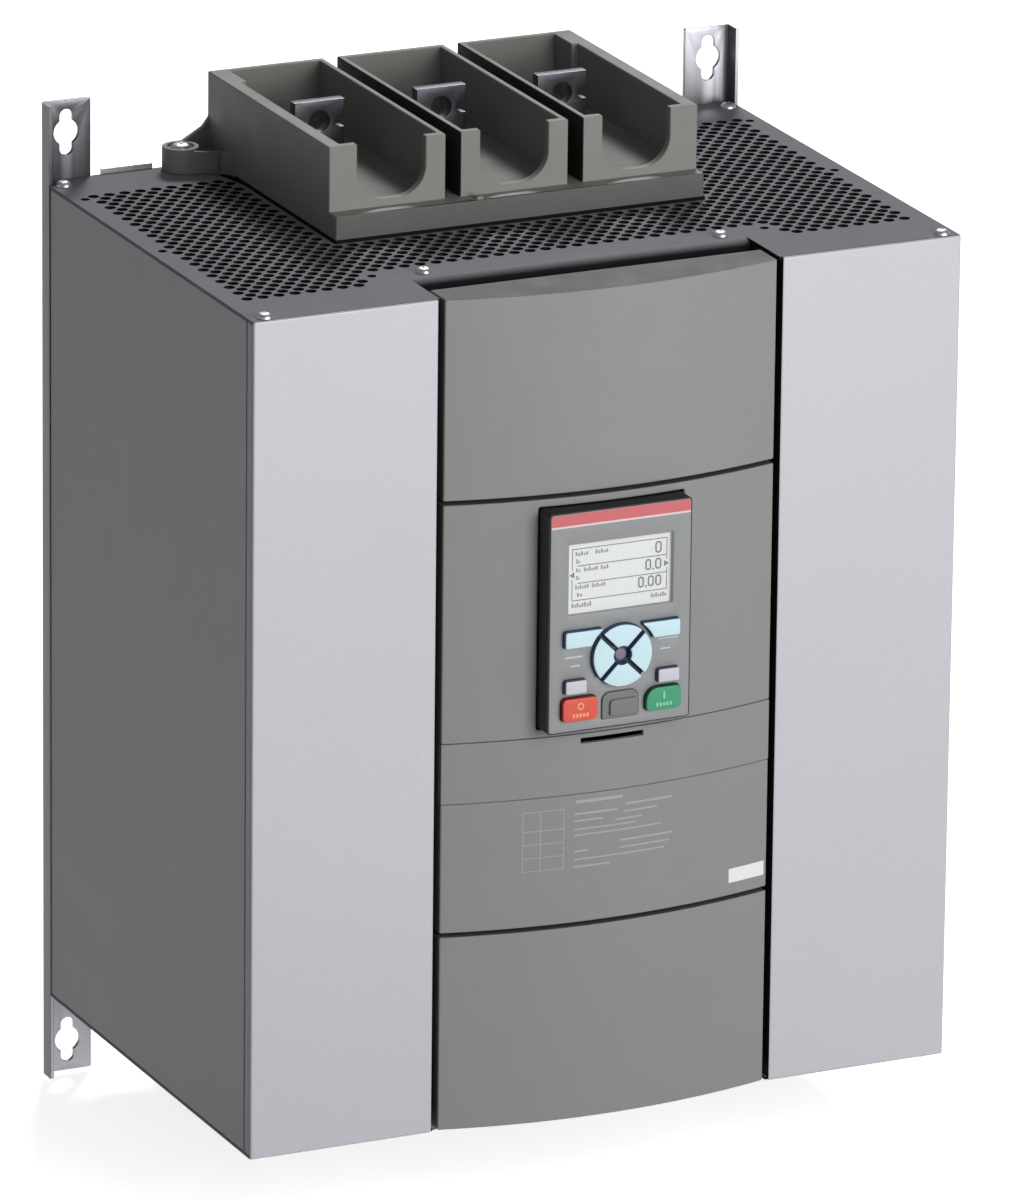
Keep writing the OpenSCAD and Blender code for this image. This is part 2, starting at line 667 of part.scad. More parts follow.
heat_sink(0);  // heat_sink_2
heat_sink(1);  // heat_sink_3
thyristor_module(-1);  // thyristor_module_1
thyristor_module(0);  // thyristor_module_2
thyristor_module(1);  // thyristor_module_3
bypass_contactor(-1);  // bypass_contactor_1
bypass_contactor(0);  // bypass_contactor_2
bypass_contactor(1);  // bypass_contactor_3
current_transformer(-1);  // current_transformer_1
current_transformer(0);  // current_transformer_2
current_transformer(1);  // current_transformer_3
fan_frame(-1);  // fan_frame_left
fan_frame(1);  // fan_frame_right
fan_rotor(-1);  // fan_rotor_left
fan_rotor(1);  // fan_rotor_right
firing_board();
control_board();
control_terminals();
board_spacers();
keypad_shell();
keypad_face();
display_window();
lcd_module();
keypad_board();
flat_key("left_soft", keyblue);  // left_soft_key
flat_key("right_soft", keyblue);  // right_soft_key
nav_key(0);  // up_key
nav_key(1);  // right_key
nav_key(2);  // down_key
nav_key(3);  // left_key
flat_key("info", [0.78, 0.78, 0.84]);  // info_key
flat_key("remote", [0.78, 0.78, 0.84]);  // remote_key
flat_key("stop", [0.86, 0.27, 0.21]);  // stop_key
flat_key("start", [0.20, 0.60, 0.40]);  // start_key
usb_cover();
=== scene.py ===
# Wall-mounted soft starter: the looks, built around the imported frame.
# Lengths in the code are millimetres in the part's own frame and become metres in the meshes.
import json
import math
import bpy
import bmesh
from mathutils import Matrix, Vector


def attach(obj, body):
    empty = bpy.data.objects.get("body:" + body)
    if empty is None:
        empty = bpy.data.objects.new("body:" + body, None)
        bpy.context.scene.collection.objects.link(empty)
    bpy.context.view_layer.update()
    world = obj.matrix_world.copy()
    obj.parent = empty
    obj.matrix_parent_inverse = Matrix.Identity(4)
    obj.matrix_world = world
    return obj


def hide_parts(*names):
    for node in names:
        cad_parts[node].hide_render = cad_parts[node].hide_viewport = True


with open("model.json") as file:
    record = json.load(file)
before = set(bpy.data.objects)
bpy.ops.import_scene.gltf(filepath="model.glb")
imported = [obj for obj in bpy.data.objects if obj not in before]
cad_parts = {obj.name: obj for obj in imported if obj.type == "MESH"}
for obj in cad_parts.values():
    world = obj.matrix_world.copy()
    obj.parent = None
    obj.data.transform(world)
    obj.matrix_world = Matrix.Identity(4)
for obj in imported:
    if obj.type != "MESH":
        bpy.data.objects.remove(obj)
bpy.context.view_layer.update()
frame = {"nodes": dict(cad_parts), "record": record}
NODES = frame["nodes"]
BODY_OF = {n: b for b, ns in frame["record"]["behaviour"]["bodies"].items() for n in ns}
SLOT_OF = {s["node"]: s["material_slot"] for s in frame["record"]["subparts"]}
MM = 0.001
scene = bpy.context.scene


# ------------------------------------------------------------------ materials

def lin(r, g, b):
    """An sRGB colour of 0..255 as linear RGBA."""
    def f(c):
        c /= 255.0
        return c / 12.92 if c <= 0.04045 else ((c + 0.055) / 1.055) ** 2.4
    return (f(r), f(g), f(b), 1.0)


def scaled(c, k):
    return tuple(min(1.0, x * k) for x in c[:3]) + (1.0,)


class Nodes:
    """A small helper around one material's node tree."""

    def __init__(self, name):
        self.mat = bpy.data.materials.new(name)
        self.mat.use_nodes = True
        self.t = self.mat.node_tree
        self.t.nodes.clear()
        self.out = self.t.nodes.new("ShaderNodeOutputMaterial")
        self.p = self.t.nodes.new("ShaderNodeBsdfPrincipled")
        self.t.links.new(self.p.outputs["BSDF"], self.out.inputs["Surface"])
        self.co = self.t.nodes.new("ShaderNodeTexCoord").outputs["Object"]

    def link(self, a, b):
        self.t.links.new(a, b)

    def noise(self, scale, detail=2.0, rough=0.5, stretch=None, distortion=0.0):
        n = self.t.nodes.new("ShaderNodeTexNoise")
        n.inputs["Scale"].default_value = scale
        n.inputs["Detail"].default_value = detail
        n.inputs["Roughness"].default_value = rough
        n.inputs["Distortion"].default_value = distortion
        self.link(self.stretched(stretch), n.inputs["Vector"])
        return n.outputs["Fac"]

    def voronoi(self, scale, out="Color", stretch=None):
        n = self.t.nodes.new("ShaderNodeTexVoronoi")
        n.inputs["Scale"].default_value = scale
        self.link(self.stretched(stretch), n.inputs["Vector"])
        return n.outputs[out]

    def stretched(self, stretch):
        if stretch is None:
            return self.co
        m = self.t.nodes.new("ShaderNodeMapping")
        m.inputs["Scale"].default_value = stretch
        self.link(self.co, m.inputs["Vector"])
        return m.outputs["Vector"]

    def ramp(self, fac, stops):
        n = self.t.nodes.new("ShaderNodeValToRGB")
        e = n.color_ramp.elements
        e[0].position, e[0].color = stops[0]
        e[1].position, e[1].color = stops[-1]
        for pos, col in stops[1:-1]:
            k = e.new(pos)
            k.color = col
        self.link(fac, n.inputs["Fac"])
        return n.outputs["Color"]

    def range(self, fac, lo, hi, a=0.3, b=0.7):
        n = self.t.nodes.new("ShaderNodeMapRange")
        n.inputs["From Min"].default_value = a
        n.inputs["From Max"].default_value = b
        n.inputs["To Min"].default_value = lo
        n.inputs["To Max"].default_value = hi
        self.link(fac, n.inputs["Value"])
        return n.outputs["Result"]

    def mix(self, fac, a, b, kind="MIX"):
        n = self.t.nodes.new("ShaderNodeMix")
        n.data_type = "RGBA"
        n.blend_type = kind
        for value, socket in ((fac, n.inputs[0]), (a, n.inputs[6]), (b, n.inputs[7])):
            if isinstance(value, (int, float, tuple)):
                socket.default_value = value
            else:
                self.link(value, socket)
        return n.outputs[2]

    def math(self, op, a, b):
        n = self.t.nodes.new("ShaderNodeMath")
        n.operation = op
        for value, socket in ((a, n.inputs[0]), (b, n.inputs[1])):
            if isinstance(value, (int, float)):
                socket.default_value = value
            else:
                self.link(value, socket)
        return n.outputs[0]

    def bump(self, height, strength, distance, normal=None):
        n = self.t.nodes.new("ShaderNodeBump")
        n.inputs["Strength"].default_value = strength
        n.inputs["Distance"].default_value = distance
        self.link(height, n.inputs["Height"])
        if normal is not None:
            self.link(normal, n.inputs["Normal"])
        return n.outputs["Normal"]

    def set(self, **values):
        for k, v in values.items():
            self.p.inputs[k.replace("_", " ")].default_value = v
        return self


def finish_paint(name, col, rough=0.45, metal=0.0, var=0.05, peel=0.10, grain=0.0, spec=0.5, steep_shade=1.0, cloud=1.0):
    """Sprayed paint: slow tone drift, fine orange peel, optional metallic grain, and painted shade on steep faces such
    as hole walls if steep_shade < 1.
    """
    n = Nodes(name)
    drift = n.noise(7.0, 3.0)
    base = n.ramp(drift, [(0.25, scaled(col, 1 - var)), (0.75, scaled(col, 1 + var))])
    if grain:
        fleck = n.ramp(n.noise(2600.0, 1.0), [(0.35, (1 - grain,) * 3 + (1,)), (0.65, (1 + grain,) * 3 + (1,))])
        base = n.mix(1.0, base, fleck, "MULTIPLY")
    # painted shade: faces that don't look up or down, such as the hole walls, are darkened
    if steep_shade < 1.0:
        geo = n.t.nodes.new("ShaderNodeNewGeometry")
        sep = n.t.nodes.new("ShaderNodeSeparateXYZ")
        n.link(geo.outputs["True Normal"], sep.inputs["Vector"])
        flat = n.range(n.math("ABSOLUTE", sep.outputs["Z"], 0.0), 0.0, 1.0, 0.5, 0.95)
        # the sheet's outer edges are painted like its face
        pos = n.t.nodes.new("ShaderNodeSeparateXYZ")
        n.link(n.co, pos.inputs["Vector"])
        flat = n.math("MAXIMUM", flat, n.range(n.math("ABSOLUTE", pos.outputs["X"], 0.0), 0.0, 1.0, 0.1792, 0.1796))
        base = n.mix(1.0, base, n.ramp(flat, [(0.0, (steep_shade,) * 3 + (1,)), (1.0, (1, 1, 1, 1))]), "MULTIPLY")
    n.link(base, n.p.inputs["Base Color"])
    n.link(n.range(n.noise(34.0, 3.0), rough - 0.05 * cloud, rough + 0.06 * cloud), n.p.inputs["Roughness"])
    peel_h = n.noise(950.0, 2.0)
    n.link(n.bump(peel_h, peel, 0.00006), n.p.inputs["Normal"])
    n.set(Metallic=metal, Specular_IOR_Level=spec)
    return n.mat


def moulded(name, col, rough=0.55, var=0.04, texture=0.25, scale=1700.0, spec=0.45):
    """Moulded plastic with an eroded surface texture and slight flow marks."""
    n = Nodes(name)
    drift = n.noise(9.0, 2.0, stretch=(1.0, 1.0, 0.35))
    base = n.ramp(drift, [(0.3, scaled(col, 1 - var)), (0.7, scaled(col, 1 + var))])
    speck = n.ramp(n.noise(scale * 1.6, 1.0), [(0.3, (0.955,) * 3 + (1,)), (0.7, (1.03,) * 3 + (1,))])
    n.link(n.mix(1.0, base, speck, "MULTIPLY"), n.p.inputs["Base Color"])
    n.link(n.range(n.noise(60.0, 3.0), rough - 0.05, rough + 0.05), n.p.inputs["Roughness"])
    n.link(n.bump(n.noise(scale, 3.0, 0.6), texture, 0.00005), n.p.inputs["Normal"])
    n.set(Specular_IOR_Level=spec)
    return n.mat


def zinc_sheet(name, col, rough=0.34, metal=0.85, drift=None):
    """Galvanised sheet: faint crystal spangle and rolling lines; if drift gives (foot, low, high), painted reflection
    and painted shade along z: tone factors at the lower end, near the case top and at the upper end.
    """
    n = Nodes(name)
    cells = n.voronoi(150.0, "Color")
    tone = n.ramp(cells, [(0.0, scaled(col, 0.96)), (1.0, scaled(col, 1.03))])
    lines = n.ramp(n.noise(420.0, 2.0, stretch=(1.0, 1.0, 0.02)), [(0.3, (0.95,) * 3 + (1,)), (0.7, (1.04,) * 3 + (1,))])
    tone = n.mix(1.0, tone, lines, "MULTIPLY")
    if drift:
        pos = n.t.nodes.new("ShaderNodeSeparateXYZ")
        n.link(n.co, pos.inputs["Vector"])
        up = n.range(pos.outputs["Z"], 0.0, 1.0, -0.25, 0.25)
        foot, low, high = (scaled((0.5, 0.5, 0.5, 1.0), k) for k in drift)
        painted_light = n.ramp(up, [(0.08, foot), (0.90, low), (0.97, high)])
        tone = n.mix(1.0, n.mix(1.0, tone, painted_light, "MULTIPLY"), (2.0, 2.0, 2.0, 1.0), "MULTIPLY")
    n.link(tone, n.p.inputs["Base Color"])
    n.link(n.range(cells, rough - 0.015, rough + 0.02, 0.0, 1.0), n.p.inputs["Roughness"])
    n.link(n.bump(n.noise(500.0, 2.0, stretch=(1.0, 1.0, 0.05)), 0.06, 0.00005), n.p.inputs["Normal"])
    n.set(Metallic=metal)
    return n.mat


def bright_metal(name, col, rough=0.22, stretch=(1.0, 1.0, 1.0), scale=700.0, metal=1.0, bump=0.08):
    n = Nodes(name)
    lines = n.noise(scale, 2.0, stretch=stretch)
    n.link(n.ramp(lines, [(0.3, scaled(col, 0.93)), (0.7, scaled(col, 1.05))]), n.p.inputs["Base Color"])
    n.link(n.range(lines, rough - 0.05, rough + 0.07), n.p.inputs["Roughness"])
    n.link(n.bump(lines, bump, 0.00004), n.p.inputs["Normal"])
    n.set(Metallic=metal)
    return n.mat


def board(name):
    """Solder mask with fine tracks under it."""
    n = Nodes(name)
    cells = n.voronoi(420.0, "Distance")
    track = n.ramp(cells, [(0.30, lin(22, 84, 46)), (0.36, lin(34, 108, 60))])
    pads = n.ramp(n.noise(240.0, 1.0), [(0.62, (0, 0, 0, 1)), (0.66, (1, 1, 1, 1))])
    n.link(n.mix(n.math("MULTIPLY", pads, 0.25), track, lin(200, 190, 140)), n.p.inputs["Base Color"])
    n.link(n.range(n.noise(90.0, 2.0), 0.32, 0.45), n.p.inputs["Roughness"])
    n.link(n.bump(cells, 0.15, 0.00005), n.p.inputs["Normal"])
    return n.mat


SILVER = finish_paint("silver_paint", lin(195, 194, 201), 0.42, 0.15, 0.015, 0.08, 0.05)
SIDE = finish_paint("side_paint", lin(144, 143, 150), 0.54, 0.05, 0.008, 0.10, 0.04, 0.42, cloud=0.2)
# the top paint darkens its steep faces to 0.06 of its colour: painted shade in the perforation holes
TOP = finish_paint("top_paint", lin(134, 133, 139), 0.72, 0.0, 0.03, 0.12, 0.03, 0.08, 0.06)
# painted light on the rails: the left one bright at its lower ear (painted reflection) and dark near the case top
# (painted shade), the right one bright at both ends
RAIL = zinc_sheet("rail_zinc", lin(142, 141, 146), 0.40, 0.95, (1.48, 0.28, 0.78))
RAIL_RIGHT = zinc_sheet("rail_zinc_right", lin(142, 141, 146), 0.40, 0.95, (1.35, 0.70, 1.85))
# shaded copies of the rail zinc: a duller one for the flange's outer face and a dark one for its inner face, painted
# shade
RAIL_SIDE_SHADE = zinc_sheet("rail_flange", lin(140, 139, 144), 0.50, 0.1)
RAIL_INNER_SHADE = zinc_sheet("rail_flange_inside", lin(92, 91, 96), 0.40, 0.6)
REAR = zinc_sheet("rear_zinc", lin(185, 185, 188), 0.38, 0.75)
SCREW = bright_metal("zinc_screw", lin(238, 238, 240), 0.36, (1, 1, 0.2), 900.0)
# darker copy of the cover plastic for the covers' end faces: painted shade
COVER_END_SHADE = moulded("cover_end", lin(95, 95, 94), 0.62, 0.01, 0.22, 1700.0, 0.3)
COVER = moulded("cover_plastic", lin(144, 144, 143), 0.56, 0.02, 0.22)
BLACK = moulded("black_plastic", lin(28, 29, 28), 0.50, 0.06, 0.22)
# a deeper black than the black plastic: painted shade on the front frame seen through the slot, the returns of the
# front panels, the strips at the feet of the terminal blocks and the slots of the terminal screws
BLACK_AND_SHADE = moulded("frame_black", lin(11, 11, 11), 0.75, 0.06, 0.22, 1700.0, 0.15)
BLOCK = moulded("block_plastic", lin(137, 137, 133), 0.60, 0.05, 0.30, 1300.0)
# darker copies of the block plastic: painted shade at the base front, inside the cups and on the walls between the
# cups
BLOCK_BASE_SHADE = moulded("block_base", lin(96, 96, 93), 0.60, 0.05, 0.30, 1300.0)
BLOCK_GAP_SHADE = moulded("block_gap", lin(58, 58, 56), 0.70, 0.05, 0.30, 1300.0, 0.2)
BLOCK_IN_SHADE = moulded("block_inside", lin(130, 130, 126), 0.66, 0.05, 0.30, 1300.0, 0.3)
COPPER = bright_metal("tinned_copper", lin(92, 90, 97), 0.42, (1.0, 1.0, 0.06), 900.0, 0.75, 0.10)
ALU = bright_metal("aluminium", lin(84, 85, 88), 0.42, (1.0, 1.0, 0.03), 800.0, 0.6, 0.10)
DARKMOULD = moulded("dark_moulding", lin(48, 48, 50), 0.50, 0.05, 0.25)
CT_BLUE = moulded("ct_moulding", lin(38, 44, 84), 0.48, 0.05, 0.25)
FAN = moulded("fan_plastic", lin(34, 34, 34), 0.46, 0.05, 0.18)
PCB = board("circuit_board")
GREEN_TERM = moulded("terminal_green", lin(58, 122, 76), 0.48, 0.05, 0.2)
BRASS = bright_metal("brass_spacer", lin(206, 178, 108), 0.30, (1, 0.1, 1), 900.0)
FACE = finish_paint("keypad_film", lin(142, 144, 146), 0.42, 0.10, 0.03, 0.06, 0.04)
RED_BAND = finish_paint("band_red", lin(212, 106, 110), 0.33, 0.0, 0.03, 0.05)
PALE_LINE = finish_paint("band_line", lin(238, 216, 216), 0.38, 0.0, 0.02, 0.05)
LCD = finish_paint("lcd_pale", lin(246, 248, 247), 0.55, 0.0, 0.012, 0.03)
LCD_INK = finish_paint("lcd_ink", lin(96, 97, 94), 0.60, 0.0, 0.04, 0.03)
LCD_SOFT = finish_paint("lcd_soft_ink", lin(150, 150, 146), 0.60, 0.0, 0.04, 0.03)
FILM_PRINT = finish_paint("film_print", lin(205, 206, 208), 0.5, 0.0, 0.03, 0.03)
KEY_BLUE = moulded("key_blue", lin(216, 246, 254), 0.42, 0.015, 0.10, 2400.0)
KEY_GREY = moulded("key_grey", lin(212, 213, 224), 0.44, 0.015, 0.10, 2400.0)
KEY_RED = moulded("key_red", lin(230, 86, 70), 0.42, 0.02, 0.10, 2400.0)
KEY_GREEN = moulded("key_green", lin(58, 158, 116), 0.42, 0.02, 0.10, 2400.0)
KEY_MARK = finish_paint("key_mark", lin(244, 226, 200), 0.5, 0.0, 0.02, 0.03)
# darker copies of the key colours for the key sides: painted shade
BLUE_SIDE_SHADE = moulded("key_blue_side", lin(70, 92, 130), 0.5, 0.03, 0.10, 2400.0)
GREY_SIDE_SHADE = moulded("key_grey_side", lin(92, 88, 108), 0.5, 0.03, 0.10, 2400.0)
RED_SIDE_SHADE = moulded("key_red_side", lin(128, 40, 26), 0.5, 0.03, 0.10, 2400.0)
GREEN_SIDE_SHADE = moulded("key_green_side", lin(14, 84, 58), 0.5, 0.03, 0.10, 2400.0)
STOP_MARK = finish_paint("stop_mark", lin(246, 178, 112), 0.5, 0.0, 0.02, 0.03)
START_MARK = finish_paint("start_mark", lin(140, 212, 170), 0.5, 0.0, 0.02, 0.03)
CROSS = moulded("nav_cross", lin(62, 74, 98), 0.5, 0.04, 0.15, 2400.0)
CENTRE = moulded("nav_centre", lin(128, 122, 134), 0.5, 0.04, 0.15, 2400.0)
PORT = moulded("port_rubber", lin(125, 127, 123), 0.62, 0.04, 0.30, 1900.0)
STICKER = finish_paint("blank_sticker", lin(248, 248, 247), 0.40, 0.0, 0.008, 0.03)
PRINT = finish_paint("cover_print", lin(172, 172, 170), 0.5, 0.0, 0.03, 0.03)


def window_mat():
    n = Nodes("display_window")
    n.link(n.range(n.noise(80.0, 2.0), 0.05, 0.09), n.p.inputs["Roughness"])
    n.link(n.ramp(n.noise(30.0), [(0.3, (0.90, 0.93, 0.91, 1)), (0.7, (0.95, 0.97, 0.95, 1))]), n.p.inputs["Base Color"])
    n.set(Alpha=0.10, Specular_IOR_Level=0.4)
    return n.mat


WINDOW = window_mat()

MATERIAL_OF_SLOT = {
    "galvanised": RAIL, "dark_paint": TOP, "silver_paint": SILVER, "side_paint": SIDE, "zinc_screw": SCREW,
    "cover_plastic": COVER, "black_plastic": BLACK, "block_plastic": BLOCK, "tinned_copper": COPPER,
    "aluminium": ALU, "dark_moulding": DARKMOULD, "blue_moulding": CT_BLUE, "fan_plastic": FAN,
    "circuit_board": PCB, "green_terminal": GREEN_TERM, "brass_spacer": BRASS, "keypad_face": FACE,
    "display_window": WINDOW, "display_module": LCD, "red_key": KEY_RED, "green_key": KEY_GREEN,
    "grey_key": KEY_GREY, "blue_key": KEY_BLUE, "port_cover": PORT,
}
for node, ob in NODES.items():
    m = MATERIAL_OF_SLOT[SLOT_OF[node]]
    # the front frame, seen only through the slot, gets the deeper black: painted shade
    if node == "front_frame":
        m = BLACK_AND_SHADE
    if node == "rear_panel":
        m = REAR
    ob.data.materials.clear()
    ob.data.materials.append(m)


# ------------------------------------------------------------------ mesh tools

def link(ob):
    scene.collection.objects.link(ob)
    return ob


def smooth(me, angle=32.0):
    for p in me.polygons:
        p.use_smooth = True
    me.set_sharp_from_angle(angle=math.radians(angle))


def make(name, bm, mat, body, angle=32.0, scale=MM):
    """Turns a bmesh in millimetres into a piece that rides on a body."""
    bmesh.ops.recalc_face_normals(bm, faces=bm.faces)
    me = bpy.data.meshes.new(name)
    bm.to_mesh(me)
    bm.free()
    if scale != 1.0:
        me.transform(Matrix.Scale(scale, 4))
    me.materials.append(mat)
    smooth(me, angle)
    ob = link(bpy.data.objects.new(name, me))
    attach(ob, body)
    return ob


def bake(ob):
    """Applies the modifiers of ob."""
    dg = bpy.context.evaluated_depsgraph_get()
    me = bpy.data.meshes.new_from_object(ob.evaluated_get(dg), depsgraph=dg)
    me.name = ob.name
    ob.modifiers.clear()
    ob.data = me
    return ob


def bevel(ob, width, segments=3, angle=30.0):
    m = ob.modifiers.new("edge", "BEVEL")
    m.width = width * MM
    m.segments = segments
    m.limit_method = "ANGLE"
    m.angle_limit = math.radians(angle)
    m.use_clamp_overlap = False
    m.miter_outer = "MITER_ARC"
    bake(ob)
    smooth(ob.data, 40.0)
    m = ob.modifiers.new("shade", "WEIGHTED_NORMAL")
    m.weight = 100
    m.keep_sharp = True
    return bake(ob)


def repaint(ob, mat, test):
    """Gives the faces that pass the test (centre in mm, normal) another material."""
    ob.data.materials.append(mat)
    k = len(ob.data.materials) - 1
    for f in ob.data.polygons:
        if test(f.center / MM, f.normal):
            f.material_index = k
    return ob


def softened(node, width, segments=2, angle=30.0, mat=None, name=None):
    """A piece with the CAD node's own shape and rounded edges, standing for it."""
    src = NODES[node]
    me = src.data.copy()
    for a in ("custom_normal", "sharp_edge", "sharp_face"):
        if a in me.attributes:
            me.attributes.remove(me.attributes[a])
    bm = bmesh.new()
    bm.from_mesh(me)
    bmesh.ops.remove_doubles(bm, verts=bm.verts, dist=2e-6)
    bmesh.ops.dissolve_limit(bm, angle_limit=math.radians(0.3), verts=bm.verts, edges=bm.edges)
    bmesh.ops.recalc_face_normals(bm, faces=bm.faces)
    bm.to_mesh(me)
    bm.free()
    me.name = name or node + "_body"
    ob = link(bpy.data.objects.new(me.name, me))
    if mat:
        me.materials.clear()
        me.materials.append(mat)
    bevel(ob, width, segments, angle)
    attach(ob, BODY_OF[node])
    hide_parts(node)
    return ob


def arc(cx, cz, r, a0, a1, n):
    return [(cx + r * math.cos(math.radians(a0 + (a1 - a0) * i / n)), cz + r * math.sin(math.radians(a0 + (a1 - a0) * i / n))) for i in range(n + 1)]


def rrect(x0, z0, x1, z1, r, n=8):
    """Rounded rectangle, counter-clockwise; r is one radius or (bl, br, tr, tl)."""
    bl, br, tr, tl = (r,) * 4 if isinstance(r, (int, float)) else r
    pts = []
    for cx, cz, rad, a in ((x1 - br, z0 + br, br, -90), (x1 - tr, z1 - tr, tr, 0), (x0 + tl, z1 - tl, tl, 90), (x0 + bl, z0 + bl, bl, 180)):
        pts += arc(cx, cz, rad, a, a + 90, n if rad > 0 else 0) if rad > 0 else [(cx, cz)]
    return pts


def inset(pts, d):
    """Moves a counter-clockwise outline inwards by d along its corner normals."""
    out = []
    n = len(pts)
    for i in range(n):
        p, a, b = Vector(pts[i]), Vector(pts[i - 1]), Vector(pts[(i + 1) % n])
        e1, e2 = (p - a), (b - p)
        if e1.length < 1e-9 or e2.length < 1e-9:
            out.append(tuple(p))
            continue
        n1 = Vector((-e1.y, e1.x)).normalized()
        n2 = Vector((-e2.y, e2.x)).normalized()
        k = n1 + n2
        if k.length < 1e-6:
            k = n1
        k.normalize()
        c = max(0.5, k.dot(n1))
        out.append(tuple(p + k * (d / c)))
    return out


def front_ring(bm, pts, y):
    return [bm.verts.new((x, y, z)) for x, z in pts]


def bridge(bm, a, b):
    n = len(a)
    for i in range(n):
        try:
            bm.faces.new((a[i], a[(i + 1) % n], b[(i + 1) % n], b[i]))
        except ValueError:
            pass


def cap(bm, pts, y_back, y_front, fillet, dome=0.0, steps=4, fill_back=True):
    """A raised key or button: straight sides, rounded rim and a slightly crowned top. y grows away from the viewer."""
    rings = [front_ring(bm, pts, y_back)]
    for i in range(steps + 1):
        t = math.pi / 2 * i / steps
        rings.append(front_ring(bm, inset(pts, fillet * (1 - math.cos(t))), y_front + fillet * (1 - math.sin(t))))
    if dome:
        cx = sum(p[0] for p in pts) / len(pts)
        cz = sum(p[1] for p in pts) / len(pts)
        last = inset(pts, fillet)
        for k in (0.85, 0.6, 0.3):
            rings.append(front_ring(bm, [(cx + (x - cx) * k, cz + (z - cz) * k) for x, z in last], y_front - dome * (1 - k * k)))
    for a, b in zip(rings, rings[1:]):
        bridge(bm, a, b)
    bm.faces.new(rings[-1])
    if fill_back:
        bm.faces.new(list(reversed(rings[0])))


def slab(bm, pts, y_back, y_front):
    """Flat shape in x and z, extruded from y_back towards the viewer."""
    a, b = front_ring(bm, pts, y_back), front_ring(bm, pts, y_front)
    bridge(bm, a, b)
    bm.faces.new(b)
    bm.faces.new(list(reversed(a)))


def block(bm, x0, y0, z0, x1, y1, z1):
    slab(bm, [(x0, z0), (x1, z0), (x1, z1), (x0, z1)], y1, y0)


def plate(name, outline, holes, y_back, y_front, edge, mat, body, steps=3, edge_back=None):
    """Flat plate with holes and rounded edges, drawn in x and z. All outlines run counter-clockwise."""
    eb = edge if edge_back is None else edge_back
    bm = bmesh.new()
    back_edges, front_edges = [], []
    for pts, side in [(outline, 1.0)] + [(h, -1.0) for h in holes]:
        rings = []
        for i in range(steps + 1):
            t = math.pi / 2 * i / steps
            rings.append((inset(pts, side * eb * (1 - math.sin(t))), y_back - eb * (1 - math.cos(t))))
        for i in range(steps + 1):
            t = math.pi / 2 * i / steps
            rings.append((inset(pts, side * edge * (1 - math.cos(t))), y_front + edge * (1 - math.sin(t))))
        rings = [front_ring(bm, q, y) for q, y in rings]
        for a, b in zip(rings, rings[1:]):
            bridge(bm, a, b)
        for ring, store in ((rings[0], back_edges), (rings[-1], front_edges)):
            n = len(ring)
            store += [bm.edges.get((ring[i], ring[(i + 1) % n])) for i in range(n)]
    bmesh.ops.triangle_fill(bm, use_beauty=True, edges=back_edges, normal=(0, 1, 0))
    bmesh.ops.triangle_fill(bm, use_beauty=True, edges=front_edges, normal=(0, -1, 0))
    bmesh.ops.remove_doubles(bm, verts=bm.verts, dist=1e-5)
    return make(name, bm, mat, body)


def shade_sides(ob, shade_mat, limit=-0.4):
    """Gives the faces that don't look towards the viewer a second, darker material: painted shade on the sides."""
    ob.data.materials.append(shade_mat)
    for f in ob.data.polygons:
        if f.normal.y > limit:
            f.material_index = 1
    return ob


def ring_flat(bm, outer, inner, y_back, y_front):
    """Flat ring between two outlines with the same number of points."""
    a, b = front_ring(bm, outer, y_back), front_ring(bm, outer, y_front)
    c, d = front_ring(bm, inner, y_front), front_ring(bm, inner, y_back)
    for p, q in ((a, b), (b, c), (c, d), (d, a)):
        bridge(bm, p, q)


def prism(bm, pts, z0, z1):
    """Section drawn in x and y, extruded upwards."""
    a = [bm.verts.new((x, y, z0)) for x, y in pts]
    b = [bm.verts.new((x, y, z1)) for x, y in pts]
    bridge(bm, a, b)
    bm.faces.new(b)
    bm.faces.new(list(reversed(a)))


def joined(name, obs, node=None):
    """Puts the meshes of obs into the first one."""
    first = obs[0]
    bm = bmesh.new()
    for o in obs:
        bm.from_mesh(o.data)
    me = bpy.data.meshes.new(name)
    bm.to_mesh(me)
    bm.free()
    for m in first.data.materials:
        me.materials.append(m)
    smooth(me, 40.0)
    first.data = me
    first.name = name
    for o in obs[1:]:
        bpy.data.objects.remove(o)
    return first


def lathe(bm, profile, centre, up=1.0, n=32):
    """Turns (r, h) points about a z axis through centre; up = -1 turns the part over."""
    cx, cy, cz = centre
    rings = []
    for r, h in profile:
        if r < 1e-6:
            rings.append([bm.verts.new((cx, cy, cz + up * h))])
        else:
            rings.append([bm.verts.new((cx + r * math.cos(2 * math.pi * i / n), cy + r * math.sin(2 * math.pi * i / n), cz + up * h)) for i in range(n)])
    for a, b in zip(rings, rings[1:]):
        for i in range(n):
            j = (i + 1) % n
            if len(a) == 1:
                bm.faces.new((a[0], b[j], b[i]))
            elif len(b) == 1:
                bm.faces.new((a[i], a[j], b[0]))
            else:
                bm.faces.new((a[i], a[j], b[j], b[i]))


def cut(ob, tool_bm, op="DIFFERENCE"):
    """Boolean of ob with a tool mesh given in millimetres."""
    bmesh.ops.recalc_face_normals(tool_bm, faces=tool_bm.faces)
    me = bpy.data.meshes.new("tool")
    tool_bm.to_mesh(me)
    tool_bm.free()
    me.transform(Matrix.Scale(MM, 4))
    tool = link(bpy.data.objects.new("tool", me))
    m = ob.modifiers.new("cut", "BOOLEAN")
    m.operation = op
    m.object = tool
    m.solver = "EXACT"
    bake(ob)
    bpy.data.objects.remove(tool)
    bpy.data.meshes.remove(me)
    return ob


# ------------------------------------------------------------------ sheet metal and mouldings

RAIL_O, RAIL_W, EAR_TOP, EAR_BOT = 180.5, 25.0, 242.0, -246.0


